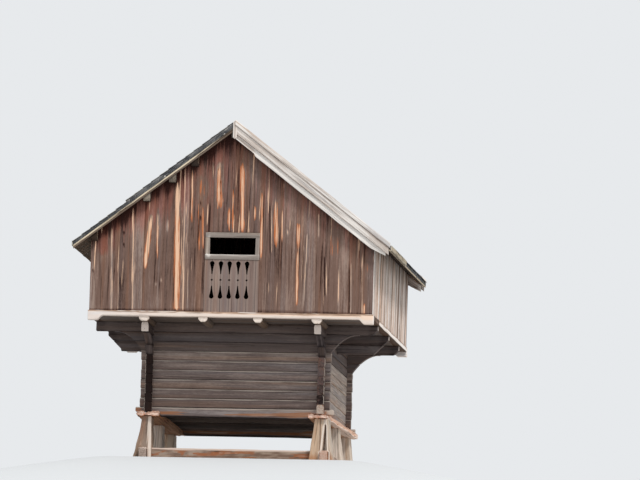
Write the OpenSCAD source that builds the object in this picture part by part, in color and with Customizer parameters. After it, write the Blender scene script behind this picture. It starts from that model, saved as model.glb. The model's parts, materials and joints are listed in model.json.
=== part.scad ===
// Raised granary: a log room on short flared posts, with a wider boarded loft
// carried on the coved ends of the room's top logs, under a steep gable roof.
// X runs to the right of the front gable, Y runs back, Z is up.
// The origin is the middle of the plan at ground level.

/* [Ground frame and posts] */
// Width of a ground sill
sill_w = 180; // [150:5:200]
// Height of a ground sill
sill_h = 250; // [200:5:280]
// Distance of the left sill's centre line inside the wall's outer face
left_sill_in = 15; // [0:5:40]
// Distance of the right sill's centre line outside the wall's outer face
right_sill_out = 45; // [20:5:60]
// Length of a ground sill past the outer face of the log room
sill_past = 260; // [200:10:320]
// Width of the ground beams between the front posts and between the rear posts
ground_beam_w = 200; // [160:5:240]
// Height of a ground beam
ground_beam_h = 270; // [200:5:300]
// Height of a post
post_h = 970; // [900:10:1040]
// Width of a left post at its top
left_post_w = 200; // [180:5:230]
// Width of a right post at its top
right_post_w = 305; // [280:5:320]
// Depth of a post at its top, along the sill
post_d = 420; // [360:10:460]
// Distance of the left posts' centre line inside the wall's outer face
left_post_in = 60; // [50:5:70]
// Distance of the right posts' centre line inside the wall's outer face
right_post_in = 45; // [40:5:60]
// Flare of a left post's foot on the outer side
left_flare_out = 200; // [160:5:220]
// Flare of a left post's foot on the inner side
left_flare_in = 12; // [6:1:30]
// Flare of a right post's foot on the outer side
right_flare_out = 125; // [100:5:140]
// Flare of a right post's foot on the inner side
right_flare_in = 120; // [100:5:140]
// Flare of a post's foot at its front and its rear
end_flare = 60; // [40:5:80]
// Power of the flare curve, larger for a lower flare
foot_curve = 1.3; // [1.1:0.1:2]
// Distance of the end posts' centre lines inside the room's outer face
post_inset = 150; // [130:5:200]
// Gap between a forked foot and the sill on each side
fork_gap = 2; // [1:0.5:4]
// Width of the worn slot in the front right post just above the sill
slot_w = 108; // [90:2:120]
// Width of that slot at its top
slot_top_w = 32; // [20:2:50]
// Height of that slot's top above the ground
slot_top_h = 830; // [780:10:860]
// Distance of that slot's centre outside the post's centre line
slot_out = 92; // [80:2:100]

/* [Planks on the posts] */
// Width of a plank inside the wall, where the joists rest
plank_seat = 180; // [150:5:200]
// Width of the left plank outside the wall at the front
left_plank_front_w = 190; // [150:5:220]
// Width of the left plank outside the wall at the rear
left_plank_rear_w = 130; // [110:5:160]
// Width of the right plank outside the wall at the front
right_plank_front_w = 115; // [110:5:150]
// Width of the right plank outside the wall at the rear
right_plank_rear_w = 285; // [220:5:300]
// Length of a plank past the log room at each end
plank_past = 150; // [100:10:190]

/* [Log room] */
// Width of the log room over its side walls
room_w = 4000; // [3700:20:4300]
// Depth of the log room over its front and rear walls
room_d = 4000; // [3700:20:4300]
// Thickness of a hewn wall log
log_t = 155; // [140:5:170]
// Height of one course of logs
course_h = 210; // [195:5:225]
// Number of courses in a wall
courses = 10; // [9:1:11]
// Number of top courses that are extended as consoles
console_courses = 3; // [3:1:4]
// Length of a plain log end past the corner
log_end = 130; // [100:5:160]
// Length of the lowest front and rear logs' ends past the corner
low_log_end = 225; // [180:5:250]
// Depth of the bevel along the top edges of a log
bevel_d = 20; // [12:1:26]
// Height of the bevel along the top edges of a log
bevel_h = 28; // [16:1:36]
// Height of a joist of the room's floor
joist_h = 120; // [100:5:140]
// Width of a joist
joist_w = 130; // [110:5:150]
// Distance between joists
joist_pitch = 1300; // [1100:20:1400]
// Thickness of floor boards, below and above
floor_t = 35; // [28:1:45]

/* [Consoles] */
// Overhang of the loft past the log room on each side
overhang_x = 1180; // [1050:10:1250]
// Overhang of the loft past the log room at the front and the rear
overhang_y = 1180; // [1050:10:1250]
// Distance of a side arm's tip behind the outer face of the sill rail
arm_back = 20; // [10:5:60]
// Corner cut off under a right arm's tip and under both tips of the middle one
tip_cut = 125; // [90:5:150]
// Distance of a front beam's tip behind the outer face of the sill rail
beam_back = 20; // [5:5:60]
// Step between a front beam's tip and the console log below it
console_step = 200; // [140:10:240]
// Length of the cove under a console
cove_len = 620; // [560:10:700]
// Height of the cove from the wall to the console's tip
cove_h = 385; // [320:5:400]
// Power of the cove's curve, larger for a deeper hollow
cove_power = 2.2; // [1.4:0.1:2.8]
// Width of a floor beam between the side walls
beam_w = 200; // [160:5:220]
// Width of a floor beam on top of a side wall
wall_beam_w = 225; // [200:5:240]
// Chamfer of a floor beam's lower edges
beam_chamfer = 50; // [30:2:52]
// Distance of a floor beam from the middle
beam_x = 610; // [500:10:700]

/* [Loft] */
// Height of the sill rail under the boarded walls
rail_h = 110; // [90:5:130]
// Set-back of the wall boards behind the face of the sill rail
rail_lip = 25; // [10:5:40]
// Extra depth of the sill rail's ends at the corners
ear_h = 105; // [80:5:125]
// Length of the sill rail's deeper ends
ear_w = 220; // [190:5:280]
// Length of the slope at the inner end of a deeper end
ear_slope = 90; // [60:5:110]
// Thickness of the wall boards
board_t = 30; // [24:1:36]
// Width of a post or stud of the loft's frame
stud_w = 115; // [100:5:130]
// Distance of the middle posts of a side wall from the centre
side_post_y = 1050; // [900:10:1200]
// Height of a side wall from the rail's top to the roof
wall_h = 1665; // [1550:5:1750]

/* [Gable opening] */
// Width over the opening's frame
win_w = 1210; // [1100:10:1300]
// Height over the opening's frame
win_h = 600; // [540:10:640]
// Height of the frame's bottom above the sill rail
win_up = 1170; // [1100:10:1200]
// Width of the frame's upright sides
win_side = 95; // [80:5:110]
// Width of the frame's top and bottom pieces
win_bar = 112; // [95:1:120]
// Amount that the frame stands proud of the boards
win_proud = 18; // [8:1:25]
// Distance between the cut-outs in the panel below the opening
cut_pitch = 194; // [184:1:200]
// Sideways shift of the row of cut-outs
cut_shift = -52; // [-60:1:0]
// Number of cut-outs in a row
cut_count = 5; // [4:1:5]
// Height of a cut-out
cut_h = 290; // [260:5:300]
// Width of a cut-out at its wide end
cut_wide = 106; // [90:1:116]
// Width of a cut-out at its narrow end
cut_narrow = 26; // [20:1:34]
// Distance of the upper row's wide end below the frame
cut_top = 34; // [20:1:50]
// Size of the small diamond between the two rows
diamond = 58; // [44:1:64]
// Distance from a row's narrow end to the diamond's centre
diamond_gap = 130; // [105:5:145]

/* [Roof] */
// Slope of the roof in degrees
pitch = 37.3; // [34:0.1:40]
// Overhang of the eaves past the sill rail
eave_out = 360; // [300:10:420]
// Overhang of the roof past the sill rail at the gables
verge_out = 150; // [130:10:220]
// Thickness of the roof boards
roof_board_t = 35; // [28:1:45]
// Thickness of the roof covering near the eaves
cover_t = 85; // [70:1:100]
// Thickness of the second layer of covering on the upper part of a slope
upper_cover_t = 36; // [25:1:50]
// Distance of the second layer's lower edge from the ridge
upper_cover_x = 2400; // [2200:20:2800]
// Width of a purlin
purlin_w = 150; // [120:5:170]
// Height of a purlin below the roof boards
purlin_h = 170; // [150:5:190]
// Distances of the purlins from the ridge
purlin_x = [880, 1370, 1930];
// Width of the ridge purlin
ridge_w = 170; // [150:5:190]
// Height of the ridge purlin
ridge_h = 210; // [180:5:240]
// Height of a wall plate at its outer side
plate_h = 150; // [130:5:170]
// Thickness of a barge board
barge_t = 35; // [25:1:40]
// Extra thickness of the strip along the barge's top
cap_proud = 20; // [10:1:30]
// Upright depth of the strip along the barge's top
cap_h = 125; // [100:5:140]
// Upright lap of the main barge board behind that strip
barge_lap = 25; // [15:5:50]
// Upright depth of the strip and the main barge board together
barge_h = 300; // [260:5:320]
// Upright depth from the barge's top to its lowest edge
barge_low_h = 460; // [420:5:480]
// Amount that the lowest board is narrower near the ridge
barge_narrow_h = 45; // [30:5:60]
// Distance from the ridge at which the lowest board widens
barge_widen_x = 470; // [400:10:560]
// Distance of the main board's lower end from the eave
barge_short = 40; // [20:5:60]
// Distance of the lowest board's lower end from the eave
low_barge_short = 110; // [80:5:140]
// Length of the taper at the lowest board's lower end
barge_taper = 330; // [250:10:400]
// Upright depth that still shows at the lowest board's lower end
barge_end_h = 60; // [40:5:90]
// Width of the upright board at the ridge
pendant_w = 90; // [70:2:110]
// Length of the upright board at the ridge
pendant_h = 440; // [400:10:480]
// Thickness of the lower barge board and of the strips under the left verge
strip_t = 30; // [20:1:35]
// Depth of the strips under the left verge
strip_h = 42; // [30:1:60]
// Thickness of an eave board
eave_board_t = 25; // [20:1:30]
// Height of an eave board
eave_board_h = 120; // [100:5:135]
// Length of the right eave board that is left, from the front verge
eave_left_over = 2750; // [2400:50:4200]

/* [Hidden] */
// Heights
room_z = post_h;
room_top = room_z + courses * course_h;
rail_top = room_top + rail_h;

// Half sizes of the log room and the loft
rx = room_w / 2;
ry = room_d / 2;
hx = rx + overhang_x;
hy = ry + overhang_y;
rail_w = rail_lip + board_t + stud_w;
clad_x = hx - rail_lip;
clad_y = hy - rail_lip;
stud_x = clad_x - board_t;
stud_y = clad_y - board_t;
in_x = hx - rail_w;
in_y = hy - rail_w;

// Courses: the side walls' logs lie half a course lower than the front's
low_x = courses - console_courses;
low_y = low_x - 0.5;
level_x = room_top - course_h;
level_y = room_top - 1.5 * course_h;
neck_half = 0.25;
half_course = 0.5;
joist_z = room_z + half_course * course_h;
wall_x = rx - log_t / 2;
wall_y = ry - log_t / 2;

// Ground frame
left_sill_x = -rx + left_sill_in;
right_sill_x = rx + right_sill_out;
left_post_x = -rx + left_post_in;
right_post_x = rx - right_post_in;
post_y = ry - post_inset;
post_rows = [-post_y, 0, post_y];
plank_inner = rx - log_t - plank_seat;
flare_steps = 8;
bit = 1;

// Loft openings
win_z = rail_top + win_up;
open_x = win_w / 2 - win_side;
collar_z = win_z + win_h;
outer_stud_x = stud_x - 6 * stud_w;
cut_steps = 6;

// Roof
roof_v = (roof_board_t + cover_t) / cos(pitch);
board_v = roof_board_t / cos(pitch);
upper_v = upper_cover_t / cos(pitch);
eave_x = hx + eave_out;
verge_y = hy + verge_out;
purlin_y = verge_y - strip_t;
cove_steps = 12;

// Height of the roof boards' underside, of the covering's top and of the barge's top at a
// distance from the ridge
function under(x) = rail_top + wall_h + (clad_x - abs(x)) * tan(pitch);
function roof_top(x) = under(x) + roof_v;
function barge_top(x) = roof_top(x) + upper_v;

// Height of a level counted in courses from the room's base
function level(n) = room_z + n * course_h;

// Seams between the logs of a front or rear wall, and of a side wall
function seams_x(from, to) = [for (n = [from : to]) level(n)];
function seams_y(from, to) = concat([level(from)],
    [for (n = [ceil(from + 0.5) : ceil(to) - 1]) if (n - 0.5 > from) level(n - 0.5)],
    [level(to)]);

// Outline of a stack of logs: each log has a bevel along both of its top edges
function stack_outline(seams, half) = concat(
    [for (k = [0 : len(seams) - 2], p = [[-half, seams[k]],
        [-half, seams[k + 1] - bevel_h], [-half + bevel_d, seams[k + 1]]]) p],
    [for (k = [len(seams) - 2 : -1 : 0], p = [[half - bevel_d, seams[k + 1]],
        [half, seams[k + 1] - bevel_h], [half, seams[k]]]) p]);

// Underside of a console from the wall out to its level tip
function cove(wall, low) = [for (n = [0 : cove_steps]) let (s = n / cove_steps)
    [wall + s * cove_len, low + cove_h * (1 - pow(1 - s, cove_power))]];

// Half size of a post at a height, with a flare at its foot
function flared(z, size, flare) = size / 2 + flare * pow(1 - z / post_h, foot_curve);

// Sweeps of an outline along Y and along X
module along_y(from, to) {
    translate([0, to, 0]) rotate([90, 0, 0]) linear_extrude(to - from) children();
}
module along_x(from, to) {
    translate([from, 0, 0]) rotate([90, 0, 90]) linear_extrude(to - from) children();
}

// Box between two corners
module block(low, high) {
    translate(low) cube(high - low);
}

// Ground sill under one row of posts
module ground_sill(x) {
    color("#6b5a48")
    block([x - sill_w / 2, -ry - sill_past, 0], [x + sill_w / 2, ry + sill_past, sill_h]);
}

// Front view of a post between two flared edges
module post_outline(size, flare_low, flare_high) {
    steps = [for (n = [0 : flare_steps]) post_h * n / flare_steps];
    polygon(concat([for (z = steps) [flared(z, size, flare_high), z]],
        [for (n = [flare_steps : -1 : 0]) [-flared(steps[n], size, flare_low), steps[n]]]));
}
module left_post_outline() {
    translate([left_post_x, 0]) post_outline(left_post_w, left_flare_out, left_flare_in);
}
module right_post_outline() {
    translate([right_post_x, 0]) post_outline(right_post_w, right_flare_in, right_flare_out);
}

// Ground beams between the front posts and between the rear posts, cut to the posts' feet
module ground_cross_beams() {
    color("#6e4a38")
    for (end = [-1, 1]) difference() {
        block([left_post_x, end * post_y - ground_beam_w / 2, 0],
            [right_post_x, end * post_y + ground_beam_w / 2, ground_beam_h]);
        along_y(-hy, hy) {
            left_post_outline();
            right_post_outline();
        }
    }
}

// Hewn posts whose flared feet are forked over a ground sill
module forked_posts(sill_x) {
    difference() {
        intersection() {
            along_y(-hy, hy) children();
            for (y = post_rows)
                along_x(-hx, hx) translate([y, 0]) post_outline(post_d, end_flare, end_flare);
        }
        block([sill_x - sill_w / 2 - fork_gap, -hy, -bit],
            [sill_x + sill_w / 2 + fork_gap, hy, sill_h]);
    }
}
module left_posts() {
    color("#7b6a58") forked_posts(left_sill_x) left_post_outline();
}

// Right posts: the front one has a tall slot above the sill
module right_posts() {
    slot_x = right_post_x + slot_out;
    color("#7b6a58")
    difference() {
        forked_posts(right_sill_x) right_post_outline();
        along_y(-hy, -ry / 2)
            polygon([[slot_x - slot_w / 2, sill_h - bit], [slot_x + slot_w / 2, sill_h - bit],
                [slot_x + slot_top_w / 2, slot_top_h], [slot_x - slot_top_w / 2, slot_top_h]]);
    }
}

// Plank half a course thick on the posts, which carries the side wall and the joists
module post_plank(side, out_front, out_rear) {
    end = ry + plank_past;
    color("#8a7763")
    translate([0, 0, room_z]) linear_extrude(half_course * course_h)
        polygon([[side * plank_inner, -end], [side * (rx + out_front), -end],
            [side * (rx + out_rear), end], [side * plank_inner, end]]);
}

// Notches at the corners that let the crossing wall's logs through
module side_log_necks(from, to) {
    for (side = [-1, 1], n = [from : to])
        block([side * wall_x - log_t / 2, -hy, level(n - neck_half)],
            [side * wall_x + log_t / 2, hy, level(n + neck_half)]);
}
module front_log_necks(from, to) {
    for (end = [-1, 1], n = [from : to])
        block([-hx, end * wall_y - log_t / 2, level(n + neck_half)],
            [hx, end * wall_y + log_t / 2, level(n + 1 - neck_half)]);
}

// Lower courses of the front or the rear wall, housed over the planks on the posts
module long_log_wall(end) {
    color("#54433a")
    difference() {
        translate([0, end * wall_y, 0]) {
            along_x(-rx - low_log_end, rx + low_log_end)
                polygon(stack_outline(seams_x(0, 1), log_t / 2));
            along_x(-rx - log_end, rx + log_end)
                polygon(stack_outline(seams_x(1, low_x), log_t / 2));
        }
        side_log_necks(1, low_x);
        for (side = [-1, 1])
            block([side > 0 ? plank_inner : -hx, -hy, room_z - bit],
                [side > 0 ? hx : -plank_inner, hy, level(half_course)]);
    }
}

// Lower courses of a side wall, from the plank up
module side_log_wall(side) {
    color("#5c4c41")
    difference() {
        along_y(-ry - log_end, ry + log_end) translate([side * wall_x, 0])
            polygon(stack_outline(seams_y(half_course, low_y), log_t / 2));
        front_log_necks(0, low_x - 1);
    }
}

// Section of a floor beam, chamfered along its lower edges
module beam_section(x, width) {
    low = level(courses - half_course);
    translate([x, 0])
        polygon([[-width / 2, room_top], [-width / 2, low + beam_chamfer],
            [-width / 2 + beam_chamfer, low], [width / 2 - beam_chamfer, low],
            [width / 2, low + beam_chamfer], [width / 2, room_top]]);
}
module inner_beams() {
    for (side = [-1, 1])
        along_y(-hy + beam_back, hy - beam_back) beam_section(side * beam_x, beam_w);
}

// Notches in the top logs for the necks of the floor beams on the side walls
module wall_beam_necks() {
    for (side = [-1, 1])
        block([side * wall_x - wall_beam_w / 2, -hy, level(courses - neck_half)],
            [side * wall_x + wall_beam_w / 2, hy, room_top + bit]);
}

// Room for the two middle logs where they pass through a side wall
module middle_log_necks() {
    for (n = [courses - 2, courses - 1])
        block([-hx, -log_t / 2, level(n + neck_half)],
            [hx, log_t / 2, level(n + 1 - neck_half)]);
}

// Floor beams that run from gable to gable and carry the sill rails
module loft_floor_beams() {
    color("#b9aa98") {
        inner_beams();
        difference() {
            for (side = [-1, 1])
                along_y(-hy + beam_back, hy - beam_back)
                    beam_section(side * wall_x, wall_beam_w);
            front_log_necks(courses - 1, courses - 1);
            middle_log_necks();
        }
    }
}

// Outline of the top courses of the front or rear wall with their coved arms
module front_arm_outline() {
    base = level(low_x);
    arm = cove(rx + log_end, level_x - cove_h);
    tip = hx - arm_back;
    polygon(concat([[rx + log_end, base]], arm, [[tip - tip_cut, level_x],
        [tip, level_x + tip_cut], [tip, room_top], [-tip, room_top], [-tip, level_x]],
        [for (n = [cove_steps : -1 : 0]) [-arm[n][0], arm[n][1]]],
        [[-rx - log_end, base]]));
}

// Top courses of the front or rear wall, extended sideways as consoles
module long_console_logs(end) {
    color("#5b4a3f")
    difference() {
        intersection() {
            along_y(-hy, hy) front_arm_outline();
            along_x(-hx, hx) translate([end * wall_y, 0])
                polygon(stack_outline(seams_x(low_x, courses), log_t / 2));
        }
        side_log_necks(low_x, courses - 1);
        wall_beam_necks();
        inner_beams();
    }
}

// Outline of the top courses of a side wall with their coved arms to the front and rear
module side_arm_outline() {
    base = level(low_y);
    arm = cove(ry + log_end, level_y - cove_h);
    step = hy - beam_back - console_step;
    top_z = level(courses - half_course);
    polygon(concat([[ry + log_end, base]], arm,
        [[step, level_y], [step, top_z], [-step, top_z], [-step, level_y]],
        [for (n = [cove_steps : -1 : 0]) [-arm[n][0], arm[n][1]]],
        [[-ry - log_end, base]]));
}

// Top courses of a side wall, extended to the front and the rear as consoles
module side_console_logs(side) {
    color("#6a5a4e")
    difference() {
        intersection() {
            along_x(-hx, hx) side_arm_outline();
            along_y(-hy, hy) translate([side * wall_x, 0])
                polygon(stack_outline(seams_y(low_y, courses - half_course), log_t / 2));
        }
        front_log_necks(low_x - 1, courses - 1);
        middle_log_necks();
    }
}

// Outline of the two middle logs, whose ends are cut off at a slant below the tips
module middle_arm_outline() {
    tip = hx - arm_back;
    foot = tip - tip_cut - course_h;
    polygon([[foot, level_x - course_h], [tip, level_x + tip_cut], [tip, room_top],
        [-tip, room_top], [-tip, level_x + tip_cut], [-foot, level_x - course_h]]);
}

// Two logs across the middle of the room, notched through the side walls
module middle_console_log() {
    color("#6a5a4e")
    difference() {
        intersection() {
            along_y(-hy, hy) middle_arm_outline();
            along_x(-hx, hx) polygon(stack_outline(seams_x(courses - 2, courses), log_t / 2));
        }
        side_log_necks(courses - 2, courses - 1);
        wall_beam_necks();
        inner_beams();
    }
}

// Joists of the room's floor, which rest on the planks
module room_joists() {
    color("#6f5d4c")
    for (n = [-1 : 1])
        block([-rx + log_t, n * joist_pitch - joist_w / 2, joist_z],
            [rx - log_t, n * joist_pitch + joist_w / 2, joist_z + joist_h]);
}

module room_floor() {
    color("#7a6857")
    block([-rx + log_t, -ry + log_t, joist_z + joist_h],
        [rx - log_t, ry - log_t, joist_z + joist_h + floor_t]);
}

module loft_floor() {
    color("#7a6857")
    block([-in_x, -in_y, room_top], [in_x, in_y, room_top + floor_t]);
}

// Sill rail across a gable, deeper at its two ends
module gable_sill_rail(end) {
    color("#d8cfc2")
    along_y(end > 0 ? in_y : -hy, end > 0 ? hy : -in_y)
        polygon([[-hx, rail_top], [-hx, room_top - ear_h],
            [-hx + ear_w, room_top - ear_h], [-hx + ear_w + ear_slope, room_top],
            [hx - ear_w - ear_slope, room_top], [hx - ear_w, room_top - ear_h],
            [hx, room_top - ear_h], [hx, rail_top]]);
}

// Sill rail along a side wall, between the two gable rails
module side_sill_rail(side) {
    color("#d8cfc2")
    block([side > 0 ? in_x : -hx, -in_y, room_top], [side > 0 ? hx : -in_x, in_y, rail_top]);
}

// Posts of a side wall's frame: one at each corner and two between
module frame_posts(side) {
    x = side > 0 ? in_x : -stud_x;
    top_z = under(stud_x) - plate_h;
    color("#7a6857") {
        for (end = [-1, 1])
            block([x, end > 0 ? in_y : -stud_y, rail_top],
                [x + stud_w, end > 0 ? stud_y : -in_y, top_z]);
        for (end = [-1, 1])
            block([x, end * side_post_y - stud_w / 2, rail_top],
                [x + stud_w, end * side_post_y + stud_w / 2, top_z]);
    }
}

// Stud of a gable's frame from one height up to another
module gable_stud(x, from, to) {
    translate([x - stud_w / 2, from]) square([stud_w, to - from]);
}

// Frame of a gable: studs, a collar above the opening, and studs under the purlins
module gable_frame(end) {
    collar_x = outer_stud_x + stud_w / 2;
    window_stud_x = open_x + stud_w / 2;
    color("#7a6857")
    along_y(end > 0 ? in_y : -stud_y, end > 0 ? stud_y : -in_y) {
        translate([-collar_x, collar_z]) square([2 * collar_x, stud_w]);
        gable_stud(0, collar_z, under(0) - ridge_h);
        for (side = [-1, 1]) {
            gable_stud(side * outer_stud_x, rail_top, collar_z + stud_w);
            gable_stud(side * window_stud_x, rail_top, collar_z + stud_w);
            for (x = purlin_x) gable_stud(side * x, collar_z, under(x) - purlin_h);
        }
    }
}

// Section of a purlin, whose top is cut to the roof's slope or raised above it for a notch
module purlin_section(x, raise = 0) {
    half = purlin_w / 2;
    polygon([[x - half, under(x - half) + raise], [x - half, under(x) - purlin_h],
        [x + half, under(x) - purlin_h], [x + half, under(x + half) + raise]]);
}
module ridge_section(raise = 0) {
    half = ridge_w / 2;
    polygon([[0, under(0) + raise], [-half, under(half) + raise], [-half, under(0) - ridge_h],
        [half, under(0) - ridge_h], [half, under(half) + raise]]);
}
module plate_section(side, raise = 0) {
    low = under(stud_x) - plate_h;
    polygon([[side * in_x, low], [side * stud_x, low], [side * stud_x, under(stud_x) + raise],
        [side * in_x, under(in_x) + raise]]);
}

// Notches in a gable's boards for the roof timbers that pass through them
module roof_timber_notches() {
    ridge_section(bit);
    for (side = [-1, 1]) {
        plate_section(side, bit);
        for (x = purlin_x) purlin_section(side * x, bit);
    }
}

// Boards of a gable, with the roof timbers let through them
module gable_boards() {
    difference() {
        polygon([[-clad_x, rail_top], [clad_x, rail_top], [clad_x, under(clad_x)],
            [0, under(0)], [-clad_x, under(clad_x)]]);
        roof_timber_notches();
    }
}

module front_wall_boards() {
    color("#6b4a3a")
    along_y(-clad_y, -stud_y) difference() {
        gable_boards();
        translate([-win_w / 2, rail_top - bit]) square([win_w, win_up + win_h + bit]);
    }
}

module rear_wall_boards() {
    color("#6b4a3a") along_y(stud_y, clad_y) gable_boards();
}

module side_wall_boards(side) {
    color("#77675c")
    along_y(-stud_y, stud_y)
        polygon([[side * stud_x, rail_top], [side * clad_x, rail_top],
            [side * clad_x, under(clad_x)], [side * stud_x, under(stud_x)]]);
}

// Frame round the gable opening
module gable_opening_frame() {
    color("#a39483")
    along_y(-clad_y - win_proud, -stud_y) difference() {
        translate([-win_w / 2, win_z]) square([win_w, win_h]);
        translate([-open_x, win_z + win_bar]) square([2 * open_x, win_h - 2 * win_bar]);
    }
}

// Outline of a cut-out: a narrow slit that widens as a curve to a round end
module cut_out(narrow_z, up) {
    reach = cut_h - cut_wide / 2;
    function half(s) = cut_narrow / 2 + (cut_wide - cut_narrow) / 2 * pow(s, 1.6);
    sides = [for (n = [0 : cut_steps]) let (s = n / cut_steps) [half(s), s * reach]];
    round_end = [for (n = [1 : cut_steps - 1]) let (a = 180 * n / cut_steps)
        [cut_wide / 2 * cos(a), reach + cut_wide / 2 * sin(a)]];
    translate([0, narrow_z]) mirror([0, up > 0 ? 0 : 1])
        polygon(concat(sides, round_end,
            [for (n = [cut_steps : -1 : 0]) [-sides[n][0], sides[n][1]]]));
}

// Panel below the opening: two rows of cut-outs with small diamonds between
module baluster_panel() {
    upper_z = win_z - cut_top - cut_h;
    middle_z = upper_z - diamond_gap;
    lower_z = middle_z - diamond_gap;
    color("#6f5142")
    along_y(-clad_y, -stud_y) difference() {
        translate([-win_w / 2, rail_top]) square([win_w, win_up]);
        for (n = [0 : cut_count - 1])
            translate([cut_shift + (n - (cut_count - 1) / 2) * cut_pitch, 0]) {
                cut_out(upper_z, 1);
                cut_out(lower_z, -1);
                translate([0, middle_z]) rotate(45) square(diamond / sqrt(2), center = true);
            }
    }
}

// Wall plates, purlins and ridge purlin run from verge to verge
module wall_plate(side) {
    color("#7a6857") along_y(-purlin_y, purlin_y) plate_section(side);
}
module purlins(side) {
    color("#7a6857")
    for (x = purlin_x) along_y(-purlin_y, purlin_y) purlin_section(side * x);
}
module ridge_purlin() {
    color("#7a6857") along_y(-purlin_y, purlin_y) ridge_section();
}

module roof_boards(side) {
    color("#8f8273")
    along_y(-verge_y, verge_y)
        polygon([[0, under(0)], [0, under(0) + board_v],
            [side * eave_x, under(eave_x) + board_v], [side * eave_x, under(eave_x)]]);
}

// Roof covering: one layer down to the eave, and a second one on the slope's upper part
module roof_covering(side) {
    color("#4a453e")
    along_y(-verge_y, verge_y)
        polygon([[0, under(0) + board_v], [0, barge_top(0)],
            [side * upper_cover_x, barge_top(upper_cover_x)],
            [side * upper_cover_x, roof_top(upper_cover_x)],
            [side * eave_x, roof_top(eave_x)], [side * eave_x, under(eave_x) + board_v]]);
}

// Board along the right verge between two upright depths below the barge's top
module verge_board(from_x, to_x, high, low) {
    polygon([[from_x, barge_top(from_x) - high], [to_x, barge_top(to_x) - high],
        [to_x, barge_top(to_x) - low], [from_x, barge_top(from_x) - low]]);
}

// Outline of the lowest barge board: narrower near the ridge and tapered at its lower end
module low_barge_outline() {
    to_x = eave_x - low_barge_short;
    turn_x = to_x - barge_taper;
    narrow = barge_low_h - barge_narrow_h;
    polygon([[0, under(0)], [to_x, under(to_x)],
        [to_x, barge_top(to_x) - barge_h - barge_end_h],
        [turn_x, barge_top(turn_x) - barge_low_h],
        [barge_widen_x, barge_top(barge_widen_x) - barge_low_h],
        [barge_widen_x, barge_top(barge_widen_x) - narrow], [0, barge_top(0) - narrow]]);
}

// Outline of the upright board at the ridge, pointed at its lower end
module pendant_outline() {
    half = pendant_w / 2;
    top_z = barge_top(half) - bit;
    low_z = barge_top(0) - pendant_h;
    polygon([[-half, top_z], [half, top_z], [half, low_z + half], [0, low_z],
        [-half, low_z + half]]);
}

// Barge boards of the right slope: a strip on top, the main board, a lower board, and an
// upright board at the ridge
module barge_boards() {
    outer = verge_y + barge_t;
    color("#b5aea4")
    for (end = [0, 1]) mirror([0, end, 0]) {
        along_y(-outer - cap_proud, -verge_y) verge_board(0, eave_x, 0, cap_h);
        along_y(-outer, -verge_y)
            verge_board(0, eave_x - barge_short, cap_h - barge_lap, barge_h);
        along_y(-outer, -verge_y) pendant_outline();
        along_y(-verge_y, -purlin_y) low_barge_outline();
    }
}

// Thin strips under the boards' ends along the left verges, which have no barge board
module left_verge_strips() {
    color("#4d3c33")
    for (end = [0, 1]) mirror([0, end, 0])
        along_y(-verge_y, -purlin_y)
            polygon([[0, under(0)], [0, under(0) - strip_h],
                [-eave_x, under(eave_x) - strip_h], [-eave_x, under(eave_x)]]);
}

// Eave boards: the left one is whole, the right one is broken off
module eave_boards() {
    top_z = roof_top(eave_x);
    color("#a89c80") {
        block([-eave_x - eave_board_t, -verge_y, top_z - eave_board_h],
            [-eave_x, verge_y, top_z]);
        block([eave_x, -verge_y, top_z - eave_board_h],
            [eave_x + eave_board_t, -verge_y + eave_left_over, top_z]);
    }
}

ground_sill(left_sill_x);  // left_ground_sill
ground_sill(right_sill_x);  // right_ground_sill
ground_cross_beams();
left_posts();
right_posts();
post_plank(-1, left_plank_front_w, left_plank_rear_w);  // left_post_plank
post_plank(1, right_plank_front_w, right_plank_rear_w);  // right_post_plank
long_log_wall(-1);  // front_log_wall
long_log_wall(1);  // rear_log_wall
side_log_wall(-1);  // left_log_wall
side_log_wall(1);  // right_log_wall
long_console_logs(-1);  // front_console_logs
long_console_logs(1);  // rear_console_logs
side_console_logs(-1);  // left_console_logs
side_console_logs(1);  // right_console_logs
middle_console_log();
room_joists();
room_floor();
loft_floor_beams();
loft_floor();
gable_sill_rail(-1);  // front_sill_rail
gable_sill_rail(1);  // rear_sill_rail
side_sill_rail(-1);  // left_sill_rail
side_sill_rail(1);  // right_sill_rail
frame_posts(-1);  // left_frame_posts
frame_posts(1);  // right_frame_posts
gable_frame(-1);  // front_gable_frame
gable_frame(1);  // rear_gable_frame
front_wall_boards();
rear_wall_boards();
side_wall_boards(-1);  // left_wall_boards
side_wall_boards(1);  // right_wall_boards
gable_opening_frame();
baluster_panel();
wall_plate(-1);  // left_wall_plate
wall_plate(1);  // right_wall_plate
purlins(-1);  // left_purlins
purlins(1);  // right_purlins
ridge_purlin();
roof_boards(-1);  // left_roof_boards
roof_boards(1);  // right_roof_boards
roof_covering(-1);  // left_roof_covering
roof_covering(1);  // right_roof_covering
barge_boards();
left_verge_strips();
eave_boards();
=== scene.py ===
import json
import math
from types import SimpleNamespace

import bpy
import numpy as np
from mathutils import Matrix, Vector

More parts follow.
